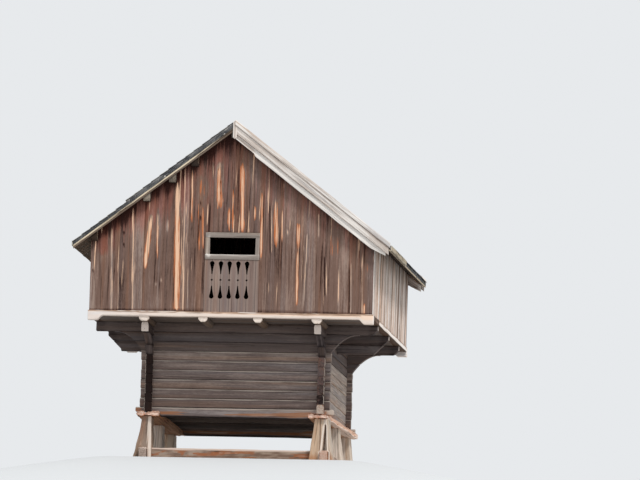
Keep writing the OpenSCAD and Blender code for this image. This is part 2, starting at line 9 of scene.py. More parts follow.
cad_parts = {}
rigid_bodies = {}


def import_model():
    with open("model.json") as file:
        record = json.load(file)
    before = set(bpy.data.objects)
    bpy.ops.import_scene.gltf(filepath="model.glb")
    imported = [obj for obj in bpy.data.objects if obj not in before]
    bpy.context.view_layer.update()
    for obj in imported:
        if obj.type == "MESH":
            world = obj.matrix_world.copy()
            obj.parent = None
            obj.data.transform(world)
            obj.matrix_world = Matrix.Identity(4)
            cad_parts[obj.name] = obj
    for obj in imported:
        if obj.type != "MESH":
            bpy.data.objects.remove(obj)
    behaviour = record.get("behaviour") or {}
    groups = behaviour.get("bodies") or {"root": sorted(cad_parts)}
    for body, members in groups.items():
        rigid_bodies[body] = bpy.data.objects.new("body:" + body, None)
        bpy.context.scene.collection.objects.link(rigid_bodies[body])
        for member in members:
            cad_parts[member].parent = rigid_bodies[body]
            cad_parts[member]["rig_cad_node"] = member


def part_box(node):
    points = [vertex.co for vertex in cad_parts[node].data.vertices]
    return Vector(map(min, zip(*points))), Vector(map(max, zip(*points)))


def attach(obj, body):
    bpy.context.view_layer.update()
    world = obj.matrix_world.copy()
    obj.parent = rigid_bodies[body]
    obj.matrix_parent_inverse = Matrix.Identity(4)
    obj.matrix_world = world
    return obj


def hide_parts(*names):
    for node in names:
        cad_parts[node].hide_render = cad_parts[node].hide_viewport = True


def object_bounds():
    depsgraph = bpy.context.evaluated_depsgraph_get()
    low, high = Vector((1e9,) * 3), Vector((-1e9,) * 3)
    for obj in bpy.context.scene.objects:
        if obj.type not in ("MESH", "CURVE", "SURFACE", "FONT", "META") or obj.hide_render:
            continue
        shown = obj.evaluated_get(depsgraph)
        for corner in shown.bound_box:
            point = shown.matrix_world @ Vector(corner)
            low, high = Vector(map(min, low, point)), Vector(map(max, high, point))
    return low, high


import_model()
BEFORE = [list(v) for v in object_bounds()]
LOW, HIGH = (np.array(v) for v in BEFORE)
INSIDE = 1e-4       # how far every surface stays inside that box
rng = np.random.default_rng(7)

# Sizes of the building in metres, as in the part's source
WALL, LOG_T = 1.9225, 0.155         # middle of a log wall, and its thickness
BASE, COURSE = 0.970, 0.21          # top of the posts, and height of a course of logs
CORNER = 2.13                       # reach of the wall logs past the corner
CROSS_LOW, CROSS_TOP = 2.65, 2.86   # undersides of the two logs across the middle
TIP, TIP_CUT = 3.160, 0.125         # reach of the top arms, and the corner cut off under a tip
PLANK_IN, PLANK_TOP = 1.665, 1.077  # inner edge and top of the planks on the posts
LOFT = 3.180                        # half width of the loft over its rails
RAIL_AT, RAIL_Z = 3.095, 3.125      # middle of a rail
RAIL_W, RAIL_H = 0.17, 0.11
CLAD, STUD, BOARD_T = 3.155, 3.125, 0.027   # outer faces of wall boards and studs, and the boards' thickness
FOOT, OVER_FRAME = 3.182, 4.952     # lower ends of the wall boards, and of those over the opening
FRAME_HALF = 0.61                   # half width of the opening's frame
EAVE, VERGE = 3.540, 3.330          # reach of the roof at the eaves and at the gables
PEAK, ROOF_BOARD_T = 7.44458, 0.035 # top of the barge boards, and the roof boards' thickness
SLOPE = math.tan(math.radians(37.3))
RUN = math.cos(math.radians(37.3))
SINE = SLOPE * RUN
UP = (0, 0, 1)
SIDES = ((-1, "left"), (1, "right"))
ENDS = ((-1, "front"), (1, "rear"))


def under(x):
    """Underside of the roof boards: the eave height plus the slope times the distance from the wall."""
    return 4.845 + (CLAD - np.abs(x)) * SLOPE


def ramp(value, start, reach):
    """Rises evenly from 0 at start to 1 at start plus reach, and is level outside."""
    return np.clip((value - start) / reach, 0, 1)


def near(value, centre, reach):
    """Soft bump: exp of minus the squared distance over the reach squared."""
    return np.exp(-((value - centre) / reach) ** 2)


def cove(d, low):
    """Underside of a console arm: past the corner it rises from low by 0.385 m along 1 - (1 - s)^2.2."""
    away = np.abs(d)
    return np.where(away > CORNER, low + 0.385 * (1 - (1 - ramp(away, CORNER, 0.62)) ** 2.2), 0.0)


def columns(*values):
    """Points from three columns, each an array or one number."""
    return np.stack(np.broadcast_arrays(*values), 1)


HASH = np.array([374761393, 668265263, 1274126177])     # odd factors that mix a point's three numbers


def noise(p, seed=0, octaves=2):
    """Smooth noise from -1 to 1: hashed values on a unit lattice, blended by 3t^2 - 2t^3 along each axis."""
    total = np.zeros(len(p))
    for o in range(octaves):
        q = p * 2.0 ** o + 19.37 * (seed + 3 * o)
        i = np.floor(q).astype(np.int64)
        t = q - i
        t = t * t * (3 - 2 * t)
        value = 0
        for corner in np.ndindex(2, 2, 2):
            h = (i + corner) @ HASH & 0xFFFFFFFF
            h = ((h ^ (h >> 13)) * 1103515245) & 0xFFFFFFFF
            h = (h ^ (h >> 16)) / 2147483647.5 - 1
            value = value + h * np.where(corner, t, 1 - t).prod(1)
        total += value / 2 ** o
    return total


def spots(part, x, y, z, seed):
    """Smooth noise over a part's points, with x, y and z cells to a metre along each axis."""
    return noise(part.v * np.array([x, y, z]), seed)


# Timbers

LATTICES = {}


def lattice(na, nb, nc):
    """Closed surface of a block of cells: points shared along its edges, and quads facing outward."""
    size = (na, nb, nc)
    if size not in LATTICES:
        found = []
        for axis in range(3):
            o = [k for k in range(3) if k != axis]
            i, j = (g.ravel() for g in np.meshgrid(*(np.arange(size[k]) for k in o), indexing="ij"))
            for end in (0, size[axis]):
                c = np.empty((4, len(i), 3), int)
                c[..., axis] = end
                c[..., o[0]] = i + [[0], [1], [1], [0]]
                c[..., o[1]] = j + [[0], [0], [1], [1]]
                found.append((c[::-1] if (end == 0) ^ (axis == 1) else c).swapaxes(0, 1))
        points, index = np.unique(np.concatenate(found).reshape(-1, 3), axis=0, return_inverse=True)
        LATTICES[size] = points, index.reshape(-1, 4)
    return LATTICES[size]


def spaced(length, cells, bevel, low):
    """Places of the lattice lines along one axis: even, with a narrow first and last cell for the bevel."""
    return low + np.concatenate([[0.0], np.linspace(bevel, length - bevel, cells - 1), [length]])


def timber(p, q, up, w, h, cells=(24, 4, 4), bevel=0.008, rough=0.003, shape=None, tone=0.5, worn=0.0,
           grain=(2.2, 9, 9), vary=0.12):
    """Hewn timber from p to q: a lattice block with its edges pulled in by the bevel, every point moved by
    smooth noise of its place, ragged ends if worn, and an optional shape function of its places (along,
    across, up) and its length. Its tone's brightness varies at random."""
    p = np.array(p, float)
    a = np.array(q, float) - p
    length = np.linalg.norm(a)
    a /= length
    side = np.cross(np.array(up, float), a)
    side /= np.linalg.norm(side)
    top = np.cross(a, side)
    points, quads = lattice(*cells)
    sizes, lows = (length, w, h), (0, -w / 2, -h / 2)
    v = np.stack([spaced(sizes[k], cells[k], bevel, lows[k])[points[:, k]] for k in range(3)], 1)
    ends = [(points[:, k] == cells[k]).astype(float) - (points[:, k] == 0) for k in range(3)]
    for k in range(3):
        others = sum(np.abs(ends[m]) for m in range(3) if m != k)
        v[:, k] -= ends[k] * bevel * 0.35 * np.minimum(others, 1.5)
    seed = int(rng.integers(1, 9999))
    place = v * np.array(grain) + seed * 0.731
    own = v + rng.uniform(-50, 50, 3)
    v = v + rough * np.stack([0.4 * noise(place, 1), noise(place, 2), noise(place, 3)], 1)
    if worn:
        v[:, 0] -= ends[0] * worn * (0.5 + 0.5 * noise(v * 14 + seed, 4, 3))
    if shape is not None:
        v = shape(v, length)
    world = p + v[:, :1] * a + v[:, 1:2] * side + v[:, 2:3] * top
    tones = np.zeros((len(v), 3))
    tones[:, 0] = tone + rng.uniform(-vary, vary)
    return SimpleNamespace(v=world, x=world[:, 0], y=world[:, 1], z=world[:, 2], f=quads, n=points, grain=own,
                           tone=tones, end_grain=np.abs(ends[0]))


def hewn(p, q, w, h, cells=(40, 5, 5), rough=0.006, worn=0.012):
    """Large squared timber with a coarse hewn surface."""
    return timber(p, q, UP, w, h, cells, 0.014, rough, worn=worn)


def painted(part, light=0.0, warm=0.0, pale=0.0):
    """Adds to a part's tone channels; each argument is a number or an array over its points."""
    for k, add in enumerate((light, warm, pale)):
        part.tone[:, k] += add
    return part


def board_edges(low, high, narrow, wide, last):
    """Pairs of edges of boards side by side, each of a random width; the last one takes what is left."""
    edges = [low]
    while edges[-1] < high - last:
        edges.append(edges[-1] + rng.uniform(narrow, wide))
    return zip(edges, edges[1:] + [high])


# Materials


def rgb(r, g, b):
    """Linear colour from an sRGB one on the scale 0 to 255."""
    c = np.array([r, g, b]) / 255
    return (*np.where(c <= 0.04045, c / 12.92, ((c + 0.055) / 1.055) ** 2.4).tolist(), 1.0)


MATERIALS = {}


class Shader:
    """Node tree of a material or of the world, with short calls for the nodes used here."""

    def __init__(self, owner):
        self.owner = owner
        owner.use_nodes = True
        self.tree = owner.node_tree
        self.tree.nodes.clear()

    def add(self, kind, values, **props):
        n = self.tree.nodes.new("ShaderNode" + kind)
        for k, v in props.items():
            setattr(n, k, v)
        for k, v in values.items():
            if isinstance(v, bpy.types.NodeSocket):
                self.tree.links.new(v, n.inputs[k])
            else:
                n.inputs[k].default_value = v
        return n

    def attribute(self, name, output="Vector"):
        return self.add("Attribute", {}, attribute_name=name).outputs[output]

    def split(self, vector):
        return self.add("SeparateXYZ", {"Vector": vector}).outputs

    def math(self, kind, a, b=0.0, clamp=False):
        return self.add("Math", {0: a, 1: b}, operation=kind, use_clamp=clamp).outputs[0]

    def times(self, a, b, clamp=False):
        return self.math("MULTIPLY", a, b, clamp)

    def plus(self, a, b):
        return self.math("ADD", a, b)

    def minus(self, a, b):
        return self.math("SUBTRACT", a, b)

    def scaled(self, vector, x, y, z):
        return self.add("VectorMath", {0: vector, 1: (x, y, z)}, operation="MULTIPLY").outputs[0]

    def noise(self, vector, detail, rough, scale=1.0, warp=0.0):
        return self.add("TexNoise", {"Vector": vector, "Scale": scale, "Detail": detail, "Roughness": rough,
                                     "Distortion": warp}).outputs["Fac"]

    def step(self, value, low, high, a=0.0, b=1.0):
        return self.add("MapRange", {"Value": value, "From Min": low, "From Max": high, "To Min": a,
                                     "To Max": b}, interpolation_type="SMOOTHSTEP").outputs[0]

    def mix(self, fac, a, b, kind="MIX"):
        return self.add("Mix", {0: fac, 6: a, 7: b}, data_type="RGBA", blend_type=kind).outputs[2]

    def finish(self, color, rough, height, strength, distance):
        """Surface of a material whose height makes its bump."""
        bump = self.add("Bump", {"Strength": strength, "Distance": distance, "Height": height}).outputs[0]
        surface = self.add("BsdfPrincipled", {"Base Color": color, "Roughness": rough,
                                              "Specular IOR Level": 0.2, "Normal": bump}).outputs[0]
        self.add("OutputMaterial", {0: surface})
        return self.owner


def wood(name, *palette, streaks=0.5, cracks=0.5, knots=0.4, axis=None, spread=0.17, torn=1.0, last=None):
    """Weathered wood. Long stretched noise gives the fibres, veins, streaks and cracks. The tone attribute
    gives each place's brightness, warm bare wood (red-brown old stain where it is below zero) and bleached
    wood, which break up along the veins at their edges. With an axis it reads Object coordinates instead of
    attributes."""
    dark, mid, light, warm, pale = (rgb(*c) for c in palette)
    s = Shader(bpy.data.materials.new(name))
    if axis is None:
        place = s.attribute("grain")
        tone, warmth, bleach = s.split(s.attribute("tone"))
        end = s.attribute("end_grain", "Fac")
    else:
        place = s.add("TexCoord", {}).outputs["Object"]
        tone, warmth, bleach, end = 0.5, 0.0, 0.0, 0.0

    def stretched(along, across):
        """The place scaled for noise with so many cells to a metre along the grain and across it."""
        k = [across, across, across]
        k[axis or 0] = along
        return s.scaled(place, *k)

    fibre = s.noise(stretched(1.6, 58), 4.0, 0.6)
    vein = s.noise(stretched(0.8, 24), 3.0, 0.6, warp=0.2)
    broad = s.noise(stretched(0.4, 8), 3.0, 0.6, warp=0.3)
    blotch = s.noise(place, 4.0, 0.6, 1.7)
    crack = s.step(s.noise(stretched(0.6, 34), 2.0, 0.5), 0.63, 0.70)
    grit = s.noise(stretched(11, 52), 3.0, 0.7)
    level = s.times(fibre, 0.35)
    for value, share in ((vein, 0.45), (grit, 0.3), (broad, streaks), (blotch, 0.25),
                         (s.minus(tone, 0.5), 0.55)):
        level = s.plus(level, s.times(value, share))
    mean = 0.5 * (1.35 + streaks)
    color = s.mix(s.step(level, mean - 2 * spread, mean), dark, mid)
    color = s.mix(s.step(level, mean, mean + 2 * spread), color, light)
    hue = s.noise(stretched(0.12, 5.5), 2.0, 0.5)
    color = s.mix(s.step(hue, 0.53, 0.64), color, (0.93, 1.0, 1.08, 1), "MULTIPLY")
    color = s.mix(s.step(hue, 0.47, 0.36), color, (1.08, 0.97, 0.87, 1), "MULTIPLY")

    # Ragged edges of the stained, bare and bleached places
    ragged = s.plus(s.times(s.minus(vein, 0.5), 1.3 * torn), s.times(s.minus(fibre, 0.5), 1.1 * torn))
    rest = 0.2 * (torn - 1)
    stain = s.step(s.minus(s.math("DIVIDE", ragged, torn), warmth), 0.1, 0.75)
    color = s.mix(stain, color, (1.10, 0.74, 0.70, 1), "MULTIPLY")
    spot = s.add("TexVoronoi", {"Vector": stretched(1.3, 4.5), "Scale": 1.0,
                                "Randomness": 1.0}).outputs["Distance"]
    halo = s.times(s.times(s.step(spot, 0.30, 0.10), knots * 0.45, True), s.step(warmth, -0.12, -0.02))
    bare = s.times(s.plus(warmth, ragged), s.step(warmth, 0.0, 0.12))
    bare = s.plus(bare, s.times(halo, 0.5))
    color = s.mix(s.step(bare, 0.12 + rest, 0.42 + rest, 0.0, 0.9), color, warm)
    color = s.mix(s.step(bare, 0.55 + rest, 0.95 + rest, 0.0, 0.6), color, pale)
    washed = s.times(s.plus(bleach, s.math("DIVIDE", ragged, torn ** 0.5)), s.step(bleach, 0.0, 0.12))
    color = s.mix(s.step(washed, 0.15, 0.6, 0.0, 0.95), color, pale)

    # Cracks, knots and the rings of the cut ends
    knot = s.times(s.step(spot, 0.10, 0.05), knots, True)
    marks = s.math("MAXIMUM", s.times(crack, cracks), s.times(knot, 0.9))
    color = s.mix(marks, color, (*(0.45 * c for c in dark[:3]), 1.0))
    rings = s.noise(s.scaled(place, 30, 60, 60), 3.0, 0.6)
    color = s.mix(s.times(end, s.step(rings, 0.3, 0.7, 0.2, 0.7)), color, pale)
    if last is not None:
        color = last(s, color)
    height = s.minus(s.plus(s.times(fibre, 0.6), s.times(vein, 0.8)), marks)
    MATERIALS[name] = s.finish(color, 0.85, height, 0.8, 0.004)


def slate(name):
    """Dark slate: blotches and fine grain over a blue-grey, with moss and lichen in patches."""
    s = Shader(bpy.data.materials.new(name))
    place = s.attribute("grain")
    tone = s.split(s.attribute("tone"))[0]
    blotch = s.noise(place, 5.0, 0.6, 3.0)
    fine = s.noise(place, 4.0, 0.6, 40.0)
    level = s.plus(s.times(blotch, 0.6), s.times(tone, 0.7))
    color = s.mix(s.step(level, 0.35, 0.95), rgb(58, 60, 65), rgb(128, 127, 128))
    color = s.mix(s.step(level, 0.95, 1.3), color, rgb(190, 186, 180))
    color = s.mix(s.step(fine, 0.45, 0.75, 0.0, 0.45), color, rgb(164, 158, 148))
    color = s.mix(s.step(s.noise(place, 3.0, 0.7, 9.0), 0.63, 0.70), color, rgb(196, 190, 182))
    moss = s.step(s.noise(place, 6.0, 0.65, 1.1), 0.56, 0.68)
    color = s.mix(s.times(moss, s.step(fine, 0.35, 0.6)), color, rgb(84, 82, 56))
    MATERIALS[name] = s.finish(color, 0.8, s.plus(blotch, s.times(fine, 0.4)), 0.6, 0.01)


def seams(s, color):
    """Dark seams of the panel at the middle line of each cut-out, where its boards meet, and paler wood
    beside them: both follow the distance to the nearest line."""
    pitch = 0.194
    x = s.split(s.add("TexCoord", {}).outputs["Object"])[0]
    turn = s.math("FRACT", s.math("DIVIDE", s.plus(x, 0.052 + 10.5 * pitch), pitch))
    away = s.times(s.math("ABSOLUTE", s.minus(turn, 0.5)), pitch)
    color = s.mix(s.step(away, 0.062, 0.040, 0.0, 0.12), color, rgb(196, 184, 172))
    return s.mix(s.step(away, 0.006, 0.002), color, rgb(76, 64, 64))


# Each wood's dark, middle, light, warm bare and bleached colour, and what differs from the usual grain
wood("ground_timber", (66, 46, 36), (130, 105, 90), (172, 150, 133), (164, 102, 66), (223, 201, 187),
     spread=0.15)
wood("post_timber", (75, 54, 40), (150, 126, 108), (201, 182, 163), (181, 130, 94), (234, 218, 205),
     spread=0.15)
wood("plank_wood", (89, 49, 24), (183, 135, 101), (223, 186, 159), (219, 139, 80), (247, 222, 207),
     spread=0.12)
wood("log_wall_timber", (42, 31, 28), (121, 105, 100), (172, 155, 146), (171, 114, 77), (211, 196, 183),
     streaks=0.3, spread=0.16)
wood("console_timber", (51, 41, 40), (106, 93, 89), (144, 130, 124), (157, 105, 66), (238, 222, 212),
     spread=0.2)
wood("floor_wood", (51, 43, 39), (109, 96, 89), (150, 135, 123), (131, 89, 57), (170, 153, 139))
wood("beam_timber", (51, 40, 35), (107, 91, 80), (150, 133, 118), (159, 109, 71), (250, 234, 222))
wood("pale_rail_wood", (90, 72, 60), (245, 227, 215), (255, 246, 239), (165, 132, 110), (255, 247, 241),
     streaks=0.3, cracks=0.3, knots=0.1, spread=0.24)
wood("gable_board_wood", (56, 34, 28), (124, 98, 87), (164, 141, 129), (203, 119, 72), (246, 203, 171),
     streaks=0.45, spread=0.15, knots=0.3, torn=1.9)
wood("side_board_wood", (136, 110, 93), (223, 201, 188), (255, 247, 238), (198, 151, 117), (255, 249, 243),
     streaks=0.45, spread=0.13, torn=1.5)
wood("opening_frame_wood", (82, 72, 64), (154, 143, 135), (194, 183, 174), (186, 140, 104), (235, 228, 221),
     knots=0.1)
wood("roof_board_wood", (51, 40, 33), (100, 87, 75), (139, 124, 109), (141, 93, 57), (241, 223, 195))
wood("barge_wood", (117, 96, 85), (208, 194, 184), (245, 236, 229), (206, 163, 133), (252, 245, 239),
     cracks=0.6, knots=0.2, spread=0.13)
wood("verge_strip_wood", (51, 36, 26), (122, 102, 87), (187, 168, 150), (152, 102, 64), (219, 206, 191))
wood("eave_board_wood", (84, 76, 61), (177, 171, 156), (223, 218, 206), (159, 128, 91), (236, 232, 221),
     spread=0.12)
wood("frame_timber", (51, 40, 33), (126, 113, 100), (176, 162, 145), (148, 106, 71), (211, 197, 179))
wood("panel_wood", (88, 68, 62), (138, 117, 109), (166, 147, 137), (170, 116, 80), (200, 184, 168), axis=2,
     streaks=0.6, knots=0.15, last=seams)
wood("frame_upright", (44, 36, 32), (92, 76, 66), (130, 112, 98), (128, 88, 60), (180, 166, 150), axis=2)
slate("roof_slate")


def smooth_object(name, v, f, material):
    """Object at the origin from points and quads."""
    mesh = bpy.data.meshes.new(name)
    mesh.vertices.add(len(v))
    mesh.vertices.foreach_set("co", v.astype(np.float32).ravel())
    mesh.loops.add(f.size)
    mesh.loops.foreach_set("vertex_index", f.astype(np.int32).ravel())
    mesh.polygons.add(len(f))
    mesh.polygons.foreach_set("loop_start", np.arange(0, f.size, 4, dtype=np.int32))
    mesh.update(calc_edges=True)
    mesh.polygons.foreach_set("use_smooth", np.ones(len(f), bool))
    mesh.materials.append(material)
    obj = bpy.data.objects.new(name, mesh)
    bpy.context.scene.collection.objects.link(obj)
    return obj


def make(name, parts, slot, *nodes, sharp=32):
    """Mesh of a list of parts, with their attributes and the slot's material, that stands for CAD nodes."""
    v = np.clip(np.concatenate([p.v for p in parts]), LOW + INSIDE, HIGH - INSIDE)
    start = np.cumsum([0] + [len(p.v) for p in parts[:-1]])
    f = np.concatenate([p.f + s for p, s in zip(parts, start)])
    obj = smooth_object(name, v, f, MATERIALS[slot])
    for key, kind, field in (("grain", "FLOAT_VECTOR", "vector"), ("tone", "FLOAT_VECTOR", "vector"),
                             ("end_grain", "FLOAT", "value")):
        data = np.concatenate([getattr(p, key) for p in parts]).astype(np.float32)
        obj.data.attributes.new(key, kind, "POINT").data.foreach_set(field, data.ravel())
    obj.data.set_sharp_from_angle(angle=math.radians(sharp))
    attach(obj, "root")
    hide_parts(*nodes)


# Foot of the building

for name, x, dark, bare in (("left", -1.985, -0.6, 0.0), ("right", 2.045, 0.1, 0.6)):
    part = hewn((x, 2.26, 0.125), (x, -2.26, 0.125), 0.18, 0.25)
    tip = ramp(-part.y, 2.1, 0.1)
    painted(part, light=dark * tip, warm=bare * tip, pale=0.5 * near(part.z, 0.25, 0.02))
    make(name + "_sill_timber", [part], "ground_timber", name + "_ground_sill")

parts = []
for y in (-1.85, 1.85):
    part = hewn((-1.94, y, 0.135), (1.955, y, 0.135), 0.20, 0.27, cells=(90, 5, 12), rough=0.009)
    rotten = spots(part, 1.3, 1, 8, 5) + 0.9 * spots(part, 7, 3, 30, 8)
    painted(part, light=0.2 + 0.2 * near(part.z, 0.27, 0.1) + 0.45 * spots(part, 5, 3, 24, 9),
            warm=0.65 * near(part.z, 0.16, 0.08) * np.clip(rotten, 0, 1), pale=near(part.z, 0.27, 0.03))
    parts.append(part)
make("cross_timbers", parts, "ground_timber", "ground_cross_beams")

# Middle of a post's top, its width, and how far its foot flares to the left and right
LEFT_POST, RIGHT_POST = (-1.94, 0.20, 0.20, 0.012), (1.955, 0.305, 0.12, 0.125)
POST_DEPTH, SLOT_AT = 0.42, 2.047


def post(y, x, width, out_low, out_high, legs=None):
    """Post with a flared foot: half its width plus a flare times (1 - z / height) to the power 1.3, and the
    same from front to back. A leg takes only the share of the width between its two edges."""
    def shape(v, length):
        z = np.clip(v[:, 0], 0, BASE)
        flare = (1 - z / BASE) ** 1.3
        low, high = -width / 2 - out_low * flare, width / 2 + out_high * flare
        if legs is not None:
            a, b = legs(z)
            low, high = np.maximum(low, a - x), np.minimum(high, b - x)
        deep = v[:, 2] / POST_DEPTH * (POST_DEPTH + 0.12 * flare)
        return columns(z, low + (high - low) * (v[:, 1] / width + 0.5), deep)
    return timber((x, y, 0), (x, y, BASE), (0, 1, 0), width, POST_DEPTH, cells=(32, 14, 9), bevel=0.016,
                  rough=0.009, shape=shape, grain=(3, 10, 10))


def slot_edges(z):
    """Half width of the slot in the front right post: from the sill's width to a narrow crack at 0.83 m."""
    above = 0.054 - 0.038 * ramp(z, 0.25, 0.58) - 0.02 * ramp(z, 0.83, 0.02)
    return np.where(z < 0.25, 0.092, above)


posts = {"left": [], "right": []}
for y in (-1.85, 0.0, 1.85):
    posts["left"].append(post(y, *LEFT_POST))
    if y > -1:
        posts["right"].append(post(y, *RIGHT_POST))
posts["right"].append(post(-1.85, *RIGHT_POST, legs=lambda z: (-9.0, SLOT_AT - slot_edges(z))))
posts["right"].append(post(-1.853, *RIGHT_POST, legs=lambda z: (SLOT_AT + slot_edges(z), 9.0)))
for name, row in posts.items():
    for part in row:
        x, y, z = part.v.T
        front = ramp(-y, 2.0, 0.03)
        painted(part, warm=0.35 * near(z, 0.05, 0.15))
        if name == "left":
            # The pale band near x -1.85 on the front is a painted highlight on the post's lit right edge.
            painted(part, light=-0.15 * front + 0.7 * (y > -1.0) + 0.25 * front * near(z, 0.35, 0.2),
                    warm=front * (0.5 * near(x, -1.89, 0.035) * near(z, 0.35, 0.3) - 0.2 * (x < -1.90)),
                    pale=0.75 * front * near(x, -1.85, 0.06) + 0.45 * (np.abs(y) < 0.5))
        else:
            # Pale bands along the slot's edges: painted highlights on the legs' lit edges.
            slot = near(np.abs(x - SLOT_AT), slot_edges(z) + 0.015, 0.02) * (y < -1)
            crack = near(x, 1.955 - 0.02 * z, 0.016) * front
            painted(part, light=0.6 - crack, warm=0.12 * (x < 1.95) * front, pale=slot + 0.3 * (y > -1))
    make(name + "_hewn_posts", row, "post_timber", name + "_posts", sharp=50)

PLANK_W, PLANK_H, PLANK_Z = 0.4, 0.105, 1.0225
for side, name, front, rear in ((-1, "left", 0.19, 0.13), (1, "right", 0.115, 0.285)):
    def shape(v, length):
        """The outer edge runs straight from one overhang to the other, with a ragged line added, and the
        rotten ends thin out by up to 0.03 m above and below."""
        along, across, up = v.T
        out = 1.988 + rear + (front - rear) * along / length
        out += 0.016 * noise(columns(along * 6, up * 30, 0), 3) - 0.012
        low, high = (PLANK_IN, out) if side > 0 else (-out, -PLANK_IN)
        x = low + (high - low) * (across / PLANK_W + 0.5)
        rot = ramp(along, length - 0.35, 0.3) + ramp(-along, -0.2, 0.2)
        thin = 0.03 * rot * np.clip(0.6 + noise(columns(along * 5, x * 17, side), 6), 0, 1.4)
        return columns(along, x, up * (1 - thin / (PLANK_H / 2)) - 0.2 * thin)
    part = timber((0, 2.15, PLANK_Z), (0, -2.15, PLANK_Z), UP, PLANK_W, PLANK_H, cells=(110, 22, 7),
                  bevel=0.01, rough=0.007, shape=shape, worn=0.06)
    tip = ramp(-part.y, 1.95, 0.1)
    outer = ramp(np.abs(part.x), 2.0, 0.05)
    foot = near(part.z, 0.965, 0.03)
    painted(part, light=0.6 * spots(part, 9, 9, 22, 3) * np.maximum(tip, outer), warm=0.9 * tip,
            pale=0.3 * tip)
    if side > 0:
        painted(part, light=0.5 * outer, warm=0.95 * outer * (1 - foot),
                pale=1.3 * outer * foot + 0.5 * outer * (part.y > 1.8))
    else:
        painted(part, warm=0.2 * outer)
    make(name + "_worn_plank", [part], "plank_wood", name + "_post_plank")


# Log walls, with the arms that carry the loft


def log(across, at, low, ends, above=None, tone=0.5, cells=(72, 4, 9)):
    """Hewn log of one course along X ("x") or Y ("y"). Its underside is held above a line, and its top edges
    have a wide bevel."""
    h = COURSE - 0.004
    middle = low + h / 2
    p, q = (ends[0], at, middle), (ends[1], at, middle)
    if across == "y":
        p, q = (at, ends[1], middle), (at, ends[0], middle)

    def shape(v, length):
        place = v[:, 0] + ends[0] if across == "x" else ends[1] - v[:, 0]
        z = v[:, 2] + middle
        v[:, 1] *= 1 - 0.22 * ramp(z, low + h - 0.03, 0.03)
        v[:, 1] += 0.004 * noise(columns(place * 1.3, at, low * 7), 8)
        if above is not None:
            z = np.maximum(z, np.minimum(above(place), low + h - 0.004 * (1 - v[:, 2] / h)))
        v[:, 2] = z - middle
        return v

    return timber(p, q, UP, LOG_T, h, cells=cells, bevel=0.009, rough=0.0045, worn=0.012, shape=shape,
                  tone=tone, grain=(1.6, 9, 9), vary=0.06)


def arm_log(across, at, low, ends, above, tone=0.62):
    return log(across, at, low, ends, above, tone, cells=(150, 4, 6))


def uneven(reach):
    """Both ends of a log, each up to 20 mm short of its reach."""
    return -(reach - rng.uniform(0, 0.02)), reach - rng.uniform(0, 0.02)


def seam_highlight_and_shade(part, low, strength=0.95, dark=1.0):
    """Painted highlight: a paler line along a log's upper bevel, where light catches it; and painted shade: a
    darker line along its foot.
    """
    z, highlight_vary = part.z - low, 0.9 + 0.4 * spots(part, 1.5, 1.5, 2, 6)
    return painted(part, light=-dark * (0.15 * near(z, 0.01, 0.03) + 0.3 * near(z, 0, 0.008)),
                   pale=strength * near(z, COURSE - 0.016, 0.010) * highlight_vary)


def over_plank(x):
    """Underside of the lowest log: it lies on the planks' top outside their inner edges."""
    return np.where(np.abs(x) > PLANK_IN, PLANK_TOP, 0.0)


def slanted(x):
    """Corner cut off under a tip: the underside rises as fast as the arm runs out."""
    return x - TIP + TIP_CUT + CROSS_TOP


def front_arm(x):
    """Underside of a gable wall's arms: the cove, and the cut corner at the right tip."""
    return np.maximum(cove(x, 2.475), slanted(x))


for end, name in ENDS:
    parts = []
    for n in range(7):
        low = BASE + COURSE * n
        # Each course is 0.05 lighter in tone than the one below: painted light against the shade under the
        # loft.
        part = log("x", end * WALL, low, uneven(2.225 if n == 0 else CORNER), over_plank if n == 0 else None,
                   0.50 + 0.05 * n)
        seam_highlight_and_shade(part, low)
        if n == 0:
            x, z = part.x, part.z
            patch = 0.55 + 0.7 * spots(part, 1.1, 1, 12, 5)
            painted(part, light=0.3 + 0.35 * near(x, 1.5, 0.4) - 0.7 * near(z, 0.965, 0.035),
                    warm=np.clip(0.75 * near(z, 1.045, 0.03) * patch, 0, 1)
                    + np.clip(0.9 * near(z, 1.10, 0.06) * near(x, 1.5, 0.45) * patch, 0, 1)
                    + 0.5 * ramp(-x, 2.0, 0.1) + 0.9 * ramp(x, 2.0, 0.1), pale=0.5 * ramp(x, 2.0, 0.1))
        part.end_grain *= 0.3
        parts.append(part)
    make(name + "_logs", parts, "log_wall_timber", name + "_log_wall")
    parts = []
    for n, reach in enumerate((2.28, 2.75, TIP - 0.002)):
        low = BASE + COURSE * (7 + n)
        part = arm_log("x", end * WALL, low, uneven(reach), front_arm)
        # The tips past 2.9 m are darkened: painted shade over the sunlit front of the tips.
        painted(part, light=-0.4 * ramp(np.abs(part.x), 2.9, 0.1))
        parts.append(seam_highlight_and_shade(part, low, 0.1))
    make(name + "_arms", parts, "console_timber", name + "_console_logs")

